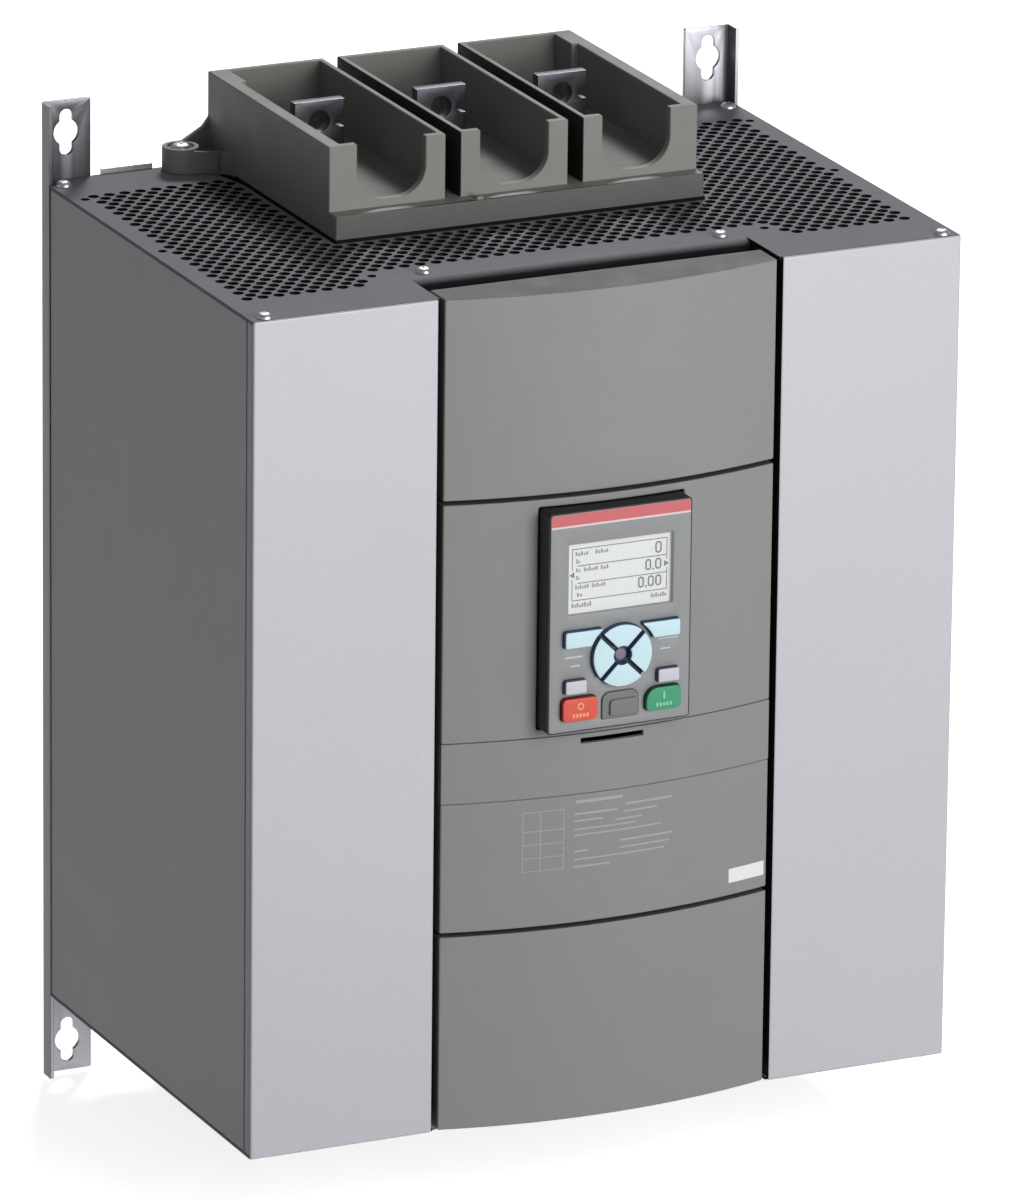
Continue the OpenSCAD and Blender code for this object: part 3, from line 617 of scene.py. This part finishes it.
def keyhole(cx, cz):
    """Double keyhole: round middle with a slot up and down."""
    r, s, e = 6.3, 3.3, 8.0
    a = math.degrees(math.asin(s / r))
    pts = arc(cx, cz, r, -90 + a, 90 - a, 14) + arc(cx, cz + e, s, 0, 180, 12) + arc(cx, cz, r, 90 + a, 270 - a, 14) + arc(cx, cz - e, s, 180, 360, 12)
    return pts


def rail(side):
    node = "mounting_rail_" + side
    sg = -1.0 if side == "left" else 1.0
    mat = RAIL if side == "left" else RAIL_RIGHT
    xi, xo = RAIL_O - RAIL_W, RAIL_O - 2.4
    key_x = RAIL_O - RAIL_W / 2
    ends = (EAR_TOP - 15.8, EAR_BOT + 15.8)
    if side == "right":
        outline = rrect(xi, EAR_BOT, xo, EAR_TOP, (1.0, 0, 0, 1.0))
        holes = [keyhole(key_x, z) for z in ends]
    else:
        outline = rrect(-xo, EAR_BOT, -xi, EAR_TOP, (0, 1.0, 1.0, 0))
        holes = [keyhole(-key_x, z) for z in ends]
    face = plate(node + "_plate", outline, holes, 0.0, -2.0, 0.35, mat, "case", edge_back=0.2)
    # bend and outer flange
    sect = arc(xo, -2.4, 2.4, 90, 0, 6) + [(RAIL_O, -10.2), (RAIL_O - 0.3, -10.5), (RAIL_O - 1.7, -10.5), (RAIL_O - 2.0, -10.2)] + arc(xo, -2.4, 0.4, 0, 90, 4)
    bm = bmesh.new()
    prism(bm, [(sg * x, y) for x, y in sect], EAR_BOT, EAR_TOP)
    flange = make(node + "_flange", bm, mat, "case", 40.0)
    ob = joined(node + "_body", [face, flange])
    # painted shade on the flange: its outer face duller, its inner face dark
    repaint(ob, RAIL_SIDE_SHADE, lambda c, n: n.x * sg > 0.6 and abs(c.x) > 178.0)
    repaint(ob, RAIL_INNER_SHADE, lambda c, n: n.x * sg < -0.6 and abs(c.x) > 177.0)
    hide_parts(node)


rail("left")
rail("right")
softened("rear_panel", 0.4, 2, mat=REAR)
for n in ("side_panel_left", "side_panel_right"):
    softened(n, 0.5, 3)
for n in ("front_panel_left", "front_panel_right"):
    # the returns beside the covers stay unlit
    repaint(softened(n, 0.9, 4), BLACK_AND_SHADE, lambda c, n: abs(c.x) < 88.3 and n.x * c.x < 0 and abs(n.x) > 0.8)
for n in ("upper_cover", "lower_cover", "middle_cover"):
    # the top and bottom end faces of the covers get a darker copy of the cover plastic: painted shade
    repaint(softened(n, 0.8, 3, angle=20.0), COVER_END_SHADE, lambda c, n: abs(n.z) > 0.75)
# rolled edge of the grilles behind the end covers; its steep part takes the top paint's painted shade
bm = bmesh.new()
turn = [math.radians(3.75 * k) for k in range(25)]
edge = [(-212.0, 203.5)] + [(-212.5 - 6.0 * math.sin(a), 197.5 + 6.0 * math.cos(a)) for a in turn]
edge += [(-212.5 - 4.9 * math.sin(a), 197.5 + 4.9 * math.cos(a)) for a in reversed(turn)] + [(-212.0, 202.4)]
for up in (1.0, -1.0):
    ends = [[bm.verts.new((x, y, up * z)) for y, z in edge] for x in (-86.4, 86.4)]
    bridge(bm, *ends)
    for loop in ends:
        bm.faces.new(loop)
make("rolled_edges", bm, TOP, "case")
# dark strips along the foot of the terminal blocks: painted contact shadow
bm = bmesh.new()
for z0, z1 in ((203.5, 205.2), (-205.2, -203.5)):
    block(bm, -95.2, -151.1, z0, 95.2, -150.4, z1)
    for x0, x1 in ((-95.2, -94.7), (94.7, 95.2)):
        block(bm, x0, -150.4, z0, x1, -34.0, z1)
ob = make("block_contact_shadow", bm, BLACK_AND_SHADE, "case")
bevel(ob, 0.15, 2)
softened("option_cover", 0.35, 2, angle=20.0)
# the front frame in the deeper black: painted shade
softened("front_frame", 0.5, 2, mat=BLACK_AND_SHADE)


def in_cup(c, n):
    x = min((abs(c.x - k * 63.0) for k in (-1, 0, 1)))
    return x < 25.0 and -138.3 < c.y < -3.7 and 217.6 < abs(c.z) < 247.0


for n in ("line_terminal_block", "load_terminal_block"):
    ob = softened(n, 0.7, 3)
    # painted shade: darker base front, darker cup insides, dark walls in the gaps between cups
    repaint(ob, BLOCK_BASE_SHADE, lambda c, n: abs(c.z) < 216.3 and n.y < -0.5 and abs(c.x) < 94.8)
    repaint(ob, BLOCK_IN_SHADE, in_cup)
    repaint(ob, BLOCK_GAP_SHADE, lambda c, n: 27.4 < abs(c.x) < 35.6 and abs(c.z) > 216.6 and abs(n.x) > 0.6)


def busbar_outline(i):
    """Lug end with two side notches, crossing piece and stack end of phase i >= 0."""
    b, zt, xt, xs = 12.75, 245.1, 63.0 * i, 112.0 * i
    right = [(xt + b, zt - 13.5)] + arc(xt + b - 2, zt - 11.2, 2.3, -90, -270, 12) + [(xt + b, zt - 8.9)]
    left = [(xt - b, zt - 8.9)] + arc(xt - b + 2, zt - 11.2, 2.3, 90, -90, 12) + [(xt - b, zt - 13.5)]
    foot = [(xs - b, 62.0), (xs + b, 62.0)]
    if i:
        foot += [(xs + b, 165.5), (xt + b, 165.5)]
    end = [(xt - b, 140.0), (xs - b, 140.0)] if i else []
    return foot + right + [(xt + b, zt), (xt - b, zt)] + left + end


for side, up in (("line", 1.0), ("load", -1.0)):
    for k in (1, 2, 3):
        node = "%s_busbar_%d" % (side, k)
        pts = busbar_outline(abs(k - 2))
        hole = arc(63.0 * abs(k - 2), 235.1, 5.3, 0, 351, 39)
        if k == 1:
            pts, hole = [(-x, z) for x, z in reversed(pts)], [(-x, z) for x, z in reversed(hole)]
        if up < 0:
            pts, hole = [(x, -z) for x, z in reversed(pts)], [(x, -z) for x, z in reversed(hole)]
        ob = plate(node + "_body", pts, [hole], -54.0, -60.0, 0.5, COPPER, BODY_OF[node])
        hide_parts(node)


# ------------------------------------------------------------------ screws

def screw_group(name, node, profile, cross, places):
    """Pan-head screws with a cross recess; places are (x, y, z, up, turn)."""
    bm = bmesh.new()
    lathe(bm, profile, (0, 0, 0), 1.0, 40)
    one = make(name + "_one", bm, SCREW, "case", 40.0)
    top = max(h for r, h in profile)
    w, l, d = cross
    tool = bmesh.new()
    for k in (0, 1):
        a, b = (l, w) if k else (w, l)
        vs = [tool.verts.new((x * f, y * f, top + 0.5 if z else top - d)) for z in (0, 1) for f in ((1.0,) if z else (0.72,)) for x, y in ((-a, -b), (a, -b), (a, b), (-a, b))]
        bridge(tool, vs[:4], vs[4:])
        tool.faces.new(vs[4:])
        tool.faces.new(list(reversed(vs[:4])))
        cut(one, tool)
        tool = bmesh.new()
    tool.free()
    bm = bmesh.new()
    for x, y, z, up, turn in places:
        me = one.data.copy()
        m = Matrix.Translation((x * MM, y * MM, z * MM)) @ Matrix.Rotation(math.radians(turn), 4, "Z")
        if up < 0:
            m = m @ Matrix.Rotation(math.pi, 4, "X")
        me.transform(m)
        bm.from_mesh(me)
        bpy.data.meshes.remove(me)
    ob = make(name, bm, SCREW, "case", 40.0, 1.0)
    bpy.data.objects.remove(one)
    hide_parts(node)
    return ob


HEAD = [(0, 2.45), (1.4, 2.40), (2.5, 2.12), (3.2, 1.62), (3.62, 0.95), (3.8, 0.35), (3.78, 0.08), (3.65, 0.0), (2.0, 0.0), (2.0, -6.6), (1.6, -7.0), (0, -7.0)]
places = []
turn = 17.0
for up in (1, -1):
    for sx in (-1, 1):
        for x, y in ((172.5, -245.0), (76.0, -207.5), (174.0, -13.0)):
            places.append((sx * x, y, up * 203.5, up, turn))
            turn = (turn * 1.7 + 31.0) % 90.0
screw_group("case_screws_body", "case_screws", HEAD, (0.45, 2.1, 1.3), places)
LUG_HEAD = [(0, 2.6), (1.8, 2.55), (3.2, 2.3), (4.2, 1.75), (4.75, 1.05), (5.0, 0.4), (4.98, 0.1), (4.85, 0.0), (2.5, 0.0), (2.5, -15.6), (2.1, -16.0), (0, -16.0)]
screw_group("terminal_block_screws_body", "terminal_block_screws", LUG_HEAD, (0.55, 2.6, 1.6),
            [(sx * 112.5, -9.4, up * 214.0, up, 25.0 + 20.0 * sx) for up in (1, -1) for sx in (-1, 1)])


# ------------------------------------------------------------------ keypad

FACE_Y, KEY_Y = -270.2, -273.2
PAD_W, PAD_H = 73.0, 107.4
NAV = (-2.6, 27.7)


def fx(u):
    return -39.5 + u


def fz(v):
    return 99.7 - v


def box_uv(u0, v0, u1, v1, r, n=6):
    """Rounded rectangle from face coordinates, u to the right and v down."""
    return rrect(fx(u0), fz(v1), fx(u1), fz(v0), r, n)


def soft_key_outline(right, g=0.0):
    x0, z0, x1, z1, r = fx(7.6) - g, fz(65.4) - g, fx(26.4) + g, fz(57.6) + g, 0.9 + g
    R = 17.2 - g
    a1 = math.degrees(math.atan2(math.sqrt(R * R - (x1 - NAV[0]) ** 2), x1 - NAV[0]))
    a0 = math.degrees(math.atan2(z0 - NAV[1], -math.sqrt(R * R - (z0 - NAV[1]) ** 2)))
    pts = arc(x0 + r, z0 + r, r, 180, 270, 6) + arc(NAV[0], NAV[1], R, a0, a1, 14) + [(x1, z1)] + arc(x0 + r, z1 - r, r, 90, 180, 6)
    if right:
        pts = [(2 * NAV[0] - x, z) for x, z in reversed(pts)]
    return pts


def petal_outline(n, g=0.0):
    c = 1.5 - 1.4 * g
    def cross_at(r):
        x = (-2 * c + math.sqrt(4 * c * c - 8 * (c * c - r * r))) / 4
        return math.degrees(math.atan2(x + c, x))
    ro, ri = 15.0 + g, 4.6 - g
    ao, ai = cross_at(ro), cross_at(ri)
    pts = arc(0, 0, ro, ao, 180 - ao, 22) + arc(0, 0, ri, 180 - ai, ai, 10)
    t = math.radians(-90 * n)
    return [(NAV[0] + x * math.cos(t) - z * math.sin(t), NAV[1] + x * math.sin(t) + z * math.cos(t)) for x, z in pts]


KEYS = {
    "left_soft_key": (soft_key_outline(False), KEY_BLUE, BLUE_SIDE_SHADE), "right_soft_key": (soft_key_outline(True), KEY_BLUE, BLUE_SIDE_SHADE),
    "up_key": (petal_outline(0), KEY_BLUE, BLUE_SIDE_SHADE), "right_key": (petal_outline(1), KEY_BLUE, BLUE_SIDE_SHADE),
    "down_key": (petal_outline(2), KEY_BLUE, BLUE_SIDE_SHADE), "left_key": (petal_outline(3), KEY_BLUE, BLUE_SIDE_SHADE),
    "info_key": (box_uv(7.9, 81.4, 18.6, 87.8, 0.9), KEY_GREY, GREY_SIDE_SHADE), "remote_key": (box_uv(55.4, 81.4, 66.1, 87.8, 0.9), KEY_GREY, GREY_SIDE_SHADE),
    "stop_key": (box_uv(6.6, 90, 24.4, 101.2, (2.2, 2.2, 2.6, 2.2)), KEY_RED, RED_SIDE_SHADE),
    "start_key": (box_uv(49.4, 90, 67.2, 101.2, (2.2, 2.2, 2.6, 6.0)), KEY_GREEN, GREEN_SIDE_SHADE),
}
for node, (pts, top, side) in KEYS.items():
    bm = bmesh.new()
    cap(bm, pts, FACE_Y + 6.9, KEY_Y, 0.55, 0.18 if side in (RED_SIDE_SHADE, GREEN_SIDE_SHADE, GREY_SIDE_SHADE) else 0.0)
    ob = shade_sides(make(node + "_cap", bm, top, node, 40.0, MM), side)
    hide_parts(node)

# marks on stop and start: a ring, a bar and a short row of dashes each
bm = bmesh.new()
cx, cz = fx(15.5), fz(93.9)
ring_flat(bm, arc(cx, cz, 1.7, 0, 348, 29), arc(cx, cz, 1.05, 0, 348, 29), KEY_Y + 0.1, KEY_Y - 0.19)
for k in range(5):
    x = fx(11.4) + k * 1.75
    slab(bm, rrect(x, fz(99.2), x + 1.15, fz(97.4), 0.2, 2), KEY_Y + 0.1, KEY_Y - 0.16)
make("stop_mark", bm, STOP_MARK, "stop_key")
bm = bmesh.new()
cx = fx(58.3)
slab(bm, rrect(cx - 0.5, fz(95.7), cx + 0.5, fz(92.1), 0.3, 3), KEY_Y + 0.1, KEY_Y - 0.19)
for k in range(5):
    x = fx(54.2) + k * 1.75
    slab(bm, rrect(x, fz(99.2), x + 1.15, fz(97.4), 0.2, 2), KEY_Y + 0.1, KEY_Y - 0.16)
make("start_mark", bm, START_MARK, "start_key")

# shell, face plate, navigation floor
shell = plate("keypad_shell_body", rrect(-39.5, fz(PAD_H), -39.5 + PAD_W, 99.7, 2.0, 8), [box_uv(0.75, 0.75, PAD_W - 0.75, PAD_H - 0.75, 1.3)], -244.0, FACE_Y + 0.3, 0.35, BLACK, "keypad", edge_back=0.5)
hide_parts("keypad_shell")
WINDOW_UV = (10.0, 15.8, 63.5, 50.2)
nav_ring = arc(NAV[0], NAV[1], 15.3, 0, 355, 71)
port_uv = (27.3, 89.7, 46.5, 103.1)
G = 0.3
holes = [box_uv(*WINDOW_UV, 0.6), soft_key_outline(False, G), soft_key_outline(True, G), nav_ring,
         box_uv(7.9 - G, 81.4 - G, 18.6 + G, 87.8 + G, 0.9 + G), box_uv(55.4 - G, 81.4 - G, 66.1 + G, 87.8 + G, 0.9 + G),
         box_uv(6.6 - G, 90 - G, 24.4 + G, 101.2 + G, (2.5, 2.5, 2.9, 2.5)), box_uv(49.4 - G, 90 - G, 67.2 + G, 101.2 + G, (2.5, 2.5, 2.9, 6.3)),
         box_uv(*port_uv, (1.3, 1.3, 4.3, 4.3))]
face = plate("keypad_face_body", box_uv(0.7, 0.7, PAD_W - 0.7, PAD_H - 0.7, 1.3), holes, FACE_Y + 2.5, FACE_Y, 0.25, FACE, "keypad", edge_back=0.1)
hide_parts("keypad_face")
floor = plate("nav_floor", arc(NAV[0], NAV[1], 15.25, 0, 355, 71), [petal_outline(n, G) for n in range(4)] + [arc(NAV[0], NAV[1], 2.6, 0, 350, 35)], FACE_Y + 2.5, FACE_Y + 1.2, 0.15, CROSS, "keypad")
bm = bmesh.new()
cap(bm, arc(NAV[0], NAV[1], 2.9, 0, 350, 35), FACE_Y + 2.4, FACE_Y - 0.2, 0.5, 0.25)
make("nav_centre", bm, CENTRE, "keypad")
seat = plate("port_seat", box_uv(*port_uv, (1.3, 1.3, 4.3, 4.3)), [box_uv(30.4, 91.6, 43.4, 101.0, 0.4)], FACE_Y + 2.5, FACE_Y + 1.2, 0.12, FACE, "keypad")

# port cover: a flap with round upper corners and a raised grip
bm = bmesh.new()
cap(bm, box_uv(27.6, 90.0, 46.2, 102.8, (1.0, 1.0, 4.0, 4.0), 8), FACE_Y + 0.9, FACE_Y - 0.8, 0.45, 0.0)
cap(bm, box_uv(31.2, 93.4, 45.0, 101.2, (0.8, 0.8, 0.8, 2.2), 6), FACE_Y - 0.6, FACE_Y - 2.2, 0.5, 0.0)
ob = make("usb_cover_flap", bm, PORT, "usb_cover", 40.0, MM)
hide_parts("usb_cover")

# coloured band and the fine line under it
bm = bmesh.new()
slab(bm, box_uv(0.95, 0.95, PAD_W - 0.95, 6.4, (0, 0, 1.2, 1.2)), FACE_Y + 0.05, FACE_Y - 0.06)
make("face_band", bm, RED_BAND, "keypad")
bm = bmesh.new()
slab(bm, box_uv(0.95, 6.4, PAD_W - 0.95, 7.35, 0), FACE_Y + 0.05, FACE_Y - 0.06)
make("face_band_line", bm, PALE_LINE, "keypad")

# what the display shows: lines, captions as dashes, zeros, two pointers
LCD_Y = FACE_Y + 2.5


def ab(a, b):
    return fx(10.0) + a, fz(15.8) - b


def lcd_bar(bm, a0, b0, a1, b1):
    x0, z1 = ab(a0, b0)
    x1, z0 = ab(a1, b1)
    slab(bm, [(x0, z0), (x1, z0), (x1, z1), (x0, z1)], LCD_Y + 0.02, LCD_Y - 0.06)


def lcd_caption(bm, a0, b0, a1, b1, step=1.25):
    n = max(1, int(round((a1 - a0) / step)))
    w = (a1 - a0) / n
    for k in range(n):
        tall = (0.0, 0.35, 0.0, 0.45, 0.2)[k % 5] * (b1 - b0)
        lcd_bar(bm, a0 + k * w, b0 + tall, a0 + k * w + w * 0.72, b1)


def lcd_zero(bm, a0, b0, w, h):
    x0, z1 = ab(a0, b0)
    x1, z0 = ab(a0 + w, b0 + h)
    ring_flat(bm, rrect(x0, z0, x1, z1, w * 0.48, 6), rrect(x0 + 0.75, z0 + 0.75, x1 - 0.75, z1 - 0.75, w * 0.48 - 0.7, 6), LCD_Y + 0.02, LCD_Y - 0.06)


bm = bmesh.new()
for a0, b0, a1 in ((2.6, 3.0, 51.4), (5.6, 11.3, 51.4), (5.6, 19.7, 51.4), (2.6, 27.9, 51.4)):
    lcd_bar(bm, a0, b0, a1, b0 + 0.42)
for a in (2.6, 51.0):
    lcd_bar(bm, a, 3.0, a + 0.4, 13.6)
    lcd_bar(bm, a, 17.8, a + 0.4, 27.9)
for a, b, w, h in ((45.2, 4.4, 3.3, 5.8), (40.2, 12.6, 3.0, 5.4), (45.2, 12.6, 3.3, 5.4), (36.6, 20.7, 3.0, 5.4), (41.6, 20.7, 3.1, 5.4), (45.4, 20.7, 3.1, 5.4)):
    lcd_zero(bm, a, b, w, h)
for a, b in ((43.8, 17.2), (40.2, 25.3)):
    lcd_bar(bm, a, b, a + 0.9, b + 0.9)
for tip, base in ((1.4, 3.9), (52.3, 49.8)):
    (x0, z), (x1, _) = ab(tip, 15.7), ab(base, 15.7)
    pts = [(x0, z), (x1, z - 1.5), (x1, z + 1.5)]
    slab(bm, pts if x1 > x0 else [pts[0], pts[2], pts[1]], LCD_Y + 0.02, LCD_Y - 0.06)
make("display_lines", bm, LCD_INK, "keypad")
bm = bmesh.new()
for a0, b0, a1, b1 in ((4.4, 4.5, 11.2, 6.5), (14.6, 4.5, 21.4, 6.5), (4.8, 8.0, 6.8, 10.2), (4.8, 12.5, 7.2, 14.5), (8.8, 12.5, 16.2, 14.5), (17.4, 12.5, 21.6, 14.5),
                       (4.8, 16.2, 6.8, 18.2), (4.4, 20.7, 11.6, 22.7), (13.0, 20.7, 20.2, 22.7), (5.4, 24.6, 8.4, 26.4), (2.6, 29.4, 13.0, 31.6), (43.2, 29.4, 51.4, 31.6)):
    lcd_caption(bm, a0, b0, a1, b1)
make("display_captions", bm, LCD_SOFT, "keypad")

# small pale rules printed on the film beside the navigation key
bm = bmesh.new()
for u0, v0, u1, v1 in ((8.4, 70.2, 17.6, 71.0), (11.6, 74.6, 16.4, 75.3), (56.4, 66.9, 66.4, 67.5), (57.4, 71.8, 62.6, 72.5)):
    slab(bm, box_uv(u0, v0, u1, v1, 0.2, 2), FACE_Y + 0.05, FACE_Y - 0.05)
make("film_rules", bm, FILM_PRINT, "keypad")


# ------------------------------------------------------------------ print on the middle cover

COVER_R, COVER_C = 324.36, 62.66


def cover_y(x):
    return COVER_C - math.sqrt(COVER_R * COVER_R - x * x)


def cover_patch(bm, x0, z0, x1, z1, lift):
    """Thin patch that follows the bulge of the covers."""
    n = max(1, int(math.ceil((x1 - x0) / 2.5)))
    xs = [x0 + (x1 - x0) * i / n for i in range(n + 1)]
    rows = []
    for off in (-0.1, lift):
        for z in (z0, z1):
            rows.append([bm.verts.new((x, cover_y(x) - off, z)) for x in xs])
    b0, b1, f0, f1 = rows
    for i in range(n):
        for p, q in ((f0, f1), (f1, b1), (b1, b0), (b0, f0)):
            bm.faces.new((p[i], p[i + 1], q[i + 1], q[i]))
    for i in (0, n):
        bm.faces.new((b0[i], f0[i], f1[i], b1[i]))


bm = bmesh.new()
cover_patch(bm, 62.3, -99.0, 82.8, -92.0, 0.10)
make("blank_sticker", bm, STICKER, "case")
bm = bmesh.new()
for x0, x1, z, h in ((-20.0, 3.8, -45.6, 1.5), (5.0, 29.8, -49.6, 1.1), (-20.6, 1.0, -51.6, 1.0), (4.6, 22.0, -53.2, 0.9), (-20.8, -6.4, -55.0, 0.9), (0.2, 14.0, -56.6, 0.9),
                     (-20.8, 10.4, -59.2, 0.8), (-20.8, 24.0, -62.0, 0.8), (2.6, 30.0, -67.2, 1.0), (-20.8, -13.4, -70.0, 1.0), (2.6, 28.6, -70.8, 0.8), (-20.8, 26.0, -74.0, 0.8),
                     (-20.8, -2.4, -77.6, 0.9)):
    cover_patch(bm, x0, z - h / 2, x1, z + h / 2, 0.03)
for x in (-46.0, -37.4, -26.0):
    cover_patch(bm, x - 0.2, -77.6, x + 0.2, -48.6, 0.03)
for z in (-48.6, -58.0, -64.6, -71.2, -77.6):
    cover_patch(bm, -46.0, z - 0.2, -26.0, z + 0.2, 0.03)
make("cover_rules", bm, PRINT, "case")


# ------------------------------------------------------------------ control board, seen when a cover is off

# clamping screws in the round wells of the terminal strip
bm = bmesh.new()
for k in range(14):
    x = -65.0 + 10.0 * k
    cap(bm, arc(x, 160.0, 2.0, 0, 345, 23), -232.0, -233.6, 0.3)
    a = math.radians(20.0 + 47.0 * k)
    c, t = math.cos(a), math.sin(a)
    slot = [(-1.6, -0.28), (1.6, -0.28), (1.6, 0.28), (-1.6, 0.28)]
    slab(bm, [(x + u * c - v * t, 160.0 + u * t + v * c) for u, v in slot], -233.5, -233.68)
ob = make("terminal_screws", bm, SCREW, "case")
# the slots on the screw heads are painted black: painted shade of their recesses
repaint(ob, BLACK_AND_SHADE, lambda c, n: c.y < -233.62)

# chips and capacitors around the strip
bm = bmesh.new()
for x0, z0, w, h in ((-62.0, 120.0, 14.0, 10.0), (-40.0, 122.0, 9.0, 6.0), (-24.0, 119.0, 12.0, 12.0), (-4.0, 121.0, 8.0, 5.0), (14.0, 118.0, 16.0, 12.0), (40.0, 121.0, 9.0, 6.0), (56.0, 119.0, 10.0, 10.0)):
    cap(bm, rrect(x0, z0, x0 + w, z0 + h, 0.3, 2), -219.9, -221.9, 0.2, 0.0, 2)
make("board_chips", bm, DARKMOULD, "case")
bm = bmesh.new()
for k in range(10):
    x = -58.0 + 12.6 * k
    cap(bm, rrect(x, 171.5, x + 4.2, 175.0, 0.4, 2), -219.9, -221.6, 0.3, 0.0, 2)
make("board_capacitors", bm, BRASS, "case")


# ------------------------------------------------------------------ camera, light, stage

def camera():
    a, e, roll = math.radians(-24.97863), math.radians(18.29835), math.radians(0.626770)
    back = Vector((math.sin(a) * math.cos(e), -math.cos(a) * math.cos(e), math.sin(e)))
    right = (-back).cross(Vector((0, 0, 1))).normalized()
    up = right.cross(-back)
    c, s = math.cos(roll), math.sin(roll)
    r2, u2 = right * c + up * s, up * c - right * s
    pos = back * 5772.42 + r2 * 56.628 + u2 * -26.6486 + Vector((0, -2.0, 0))
    cam = bpy.data.cameras.new("camera")
    cam.sensor_fit = "VERTICAL"
    cam.sensor_height = 36.0
    cam.lens = 11938.5827 / 1200.0 * 36.0
    cam.clip_end = 60.0
    ob = link(bpy.data.objects.new("camera", cam))
    ob.matrix_world = Matrix(((r2.x, u2.x, back.x, pos.x * MM), (r2.y, u2.y, back.y, pos.y * MM), (r2.z, u2.z, back.z, pos.z * MM), (0, 0, 0, 1)))
    scene.camera = ob


def area(name, pos, target, size, power, color=(1, 1, 1)):
    d = bpy.data.lights.new(name, "AREA")
    d.shape = "RECTANGLE"
    d.size, d.size_y = size
    d.energy = power
    d.color = color
    ob = link(bpy.data.objects.new(name, d))
    ob.location = pos
    ob.rotation_euler = (Vector(target) - Vector(pos)).to_track_quat("-Z", "Y").to_euler()
    return ob


def stage():
    bm = bmesh.new()
    z = -0.2482
    bm.faces.new([bm.verts.new(v) for v in ((-14, -14, z), (14, -14, z), (14, 14, z), (-14, 14, z))])
    me = bpy.data.meshes.new("floor")
    bm.to_mesh(me)
    bm.free()
    n = Nodes("floor_pale")
    n.link(n.ramp(n.noise(0.6, 2.0), [(0.3, (0.89, 0.89, 0.89, 1)), (0.7, (0.91, 0.91, 0.91, 1))]), n.p.inputs["Base Color"])
    n.set(Roughness=0.9, Specular_IOR_Level=0.1, Emission_Color=(1, 1, 1, 1), Emission_Strength=0.80)
    me.materials.append(n.mat)
    floor = link(bpy.data.objects.new("floor", me))
    floor.visible_diffuse = False

    w = bpy.data.worlds.new("studio")
    scene.world = w
    w.use_nodes = True
    bg = w.node_tree.nodes["Background"]
    bg.inputs["Color"].default_value = (0.97, 0.985, 1.0, 1)
    bg.inputs["Strength"].default_value = 0.16
    area("key", (1.3, -3.9, 0.45), (0, -0.2, 0.0), (2.0, 2.0), 63.0)
    area("near_top", (0.25, -1.3, 0.55), (0, -0.2, 0.05), (0.6, 0.6), 6.1)
    area("top_back", (1.05, 1.86, 2.2), (0, -0.1, 0.2), (0.7, 0.7), 50.0)


camera()
stage()
scene.view_settings.view_transform = "Standard"
scene.view_settings.look = "None"
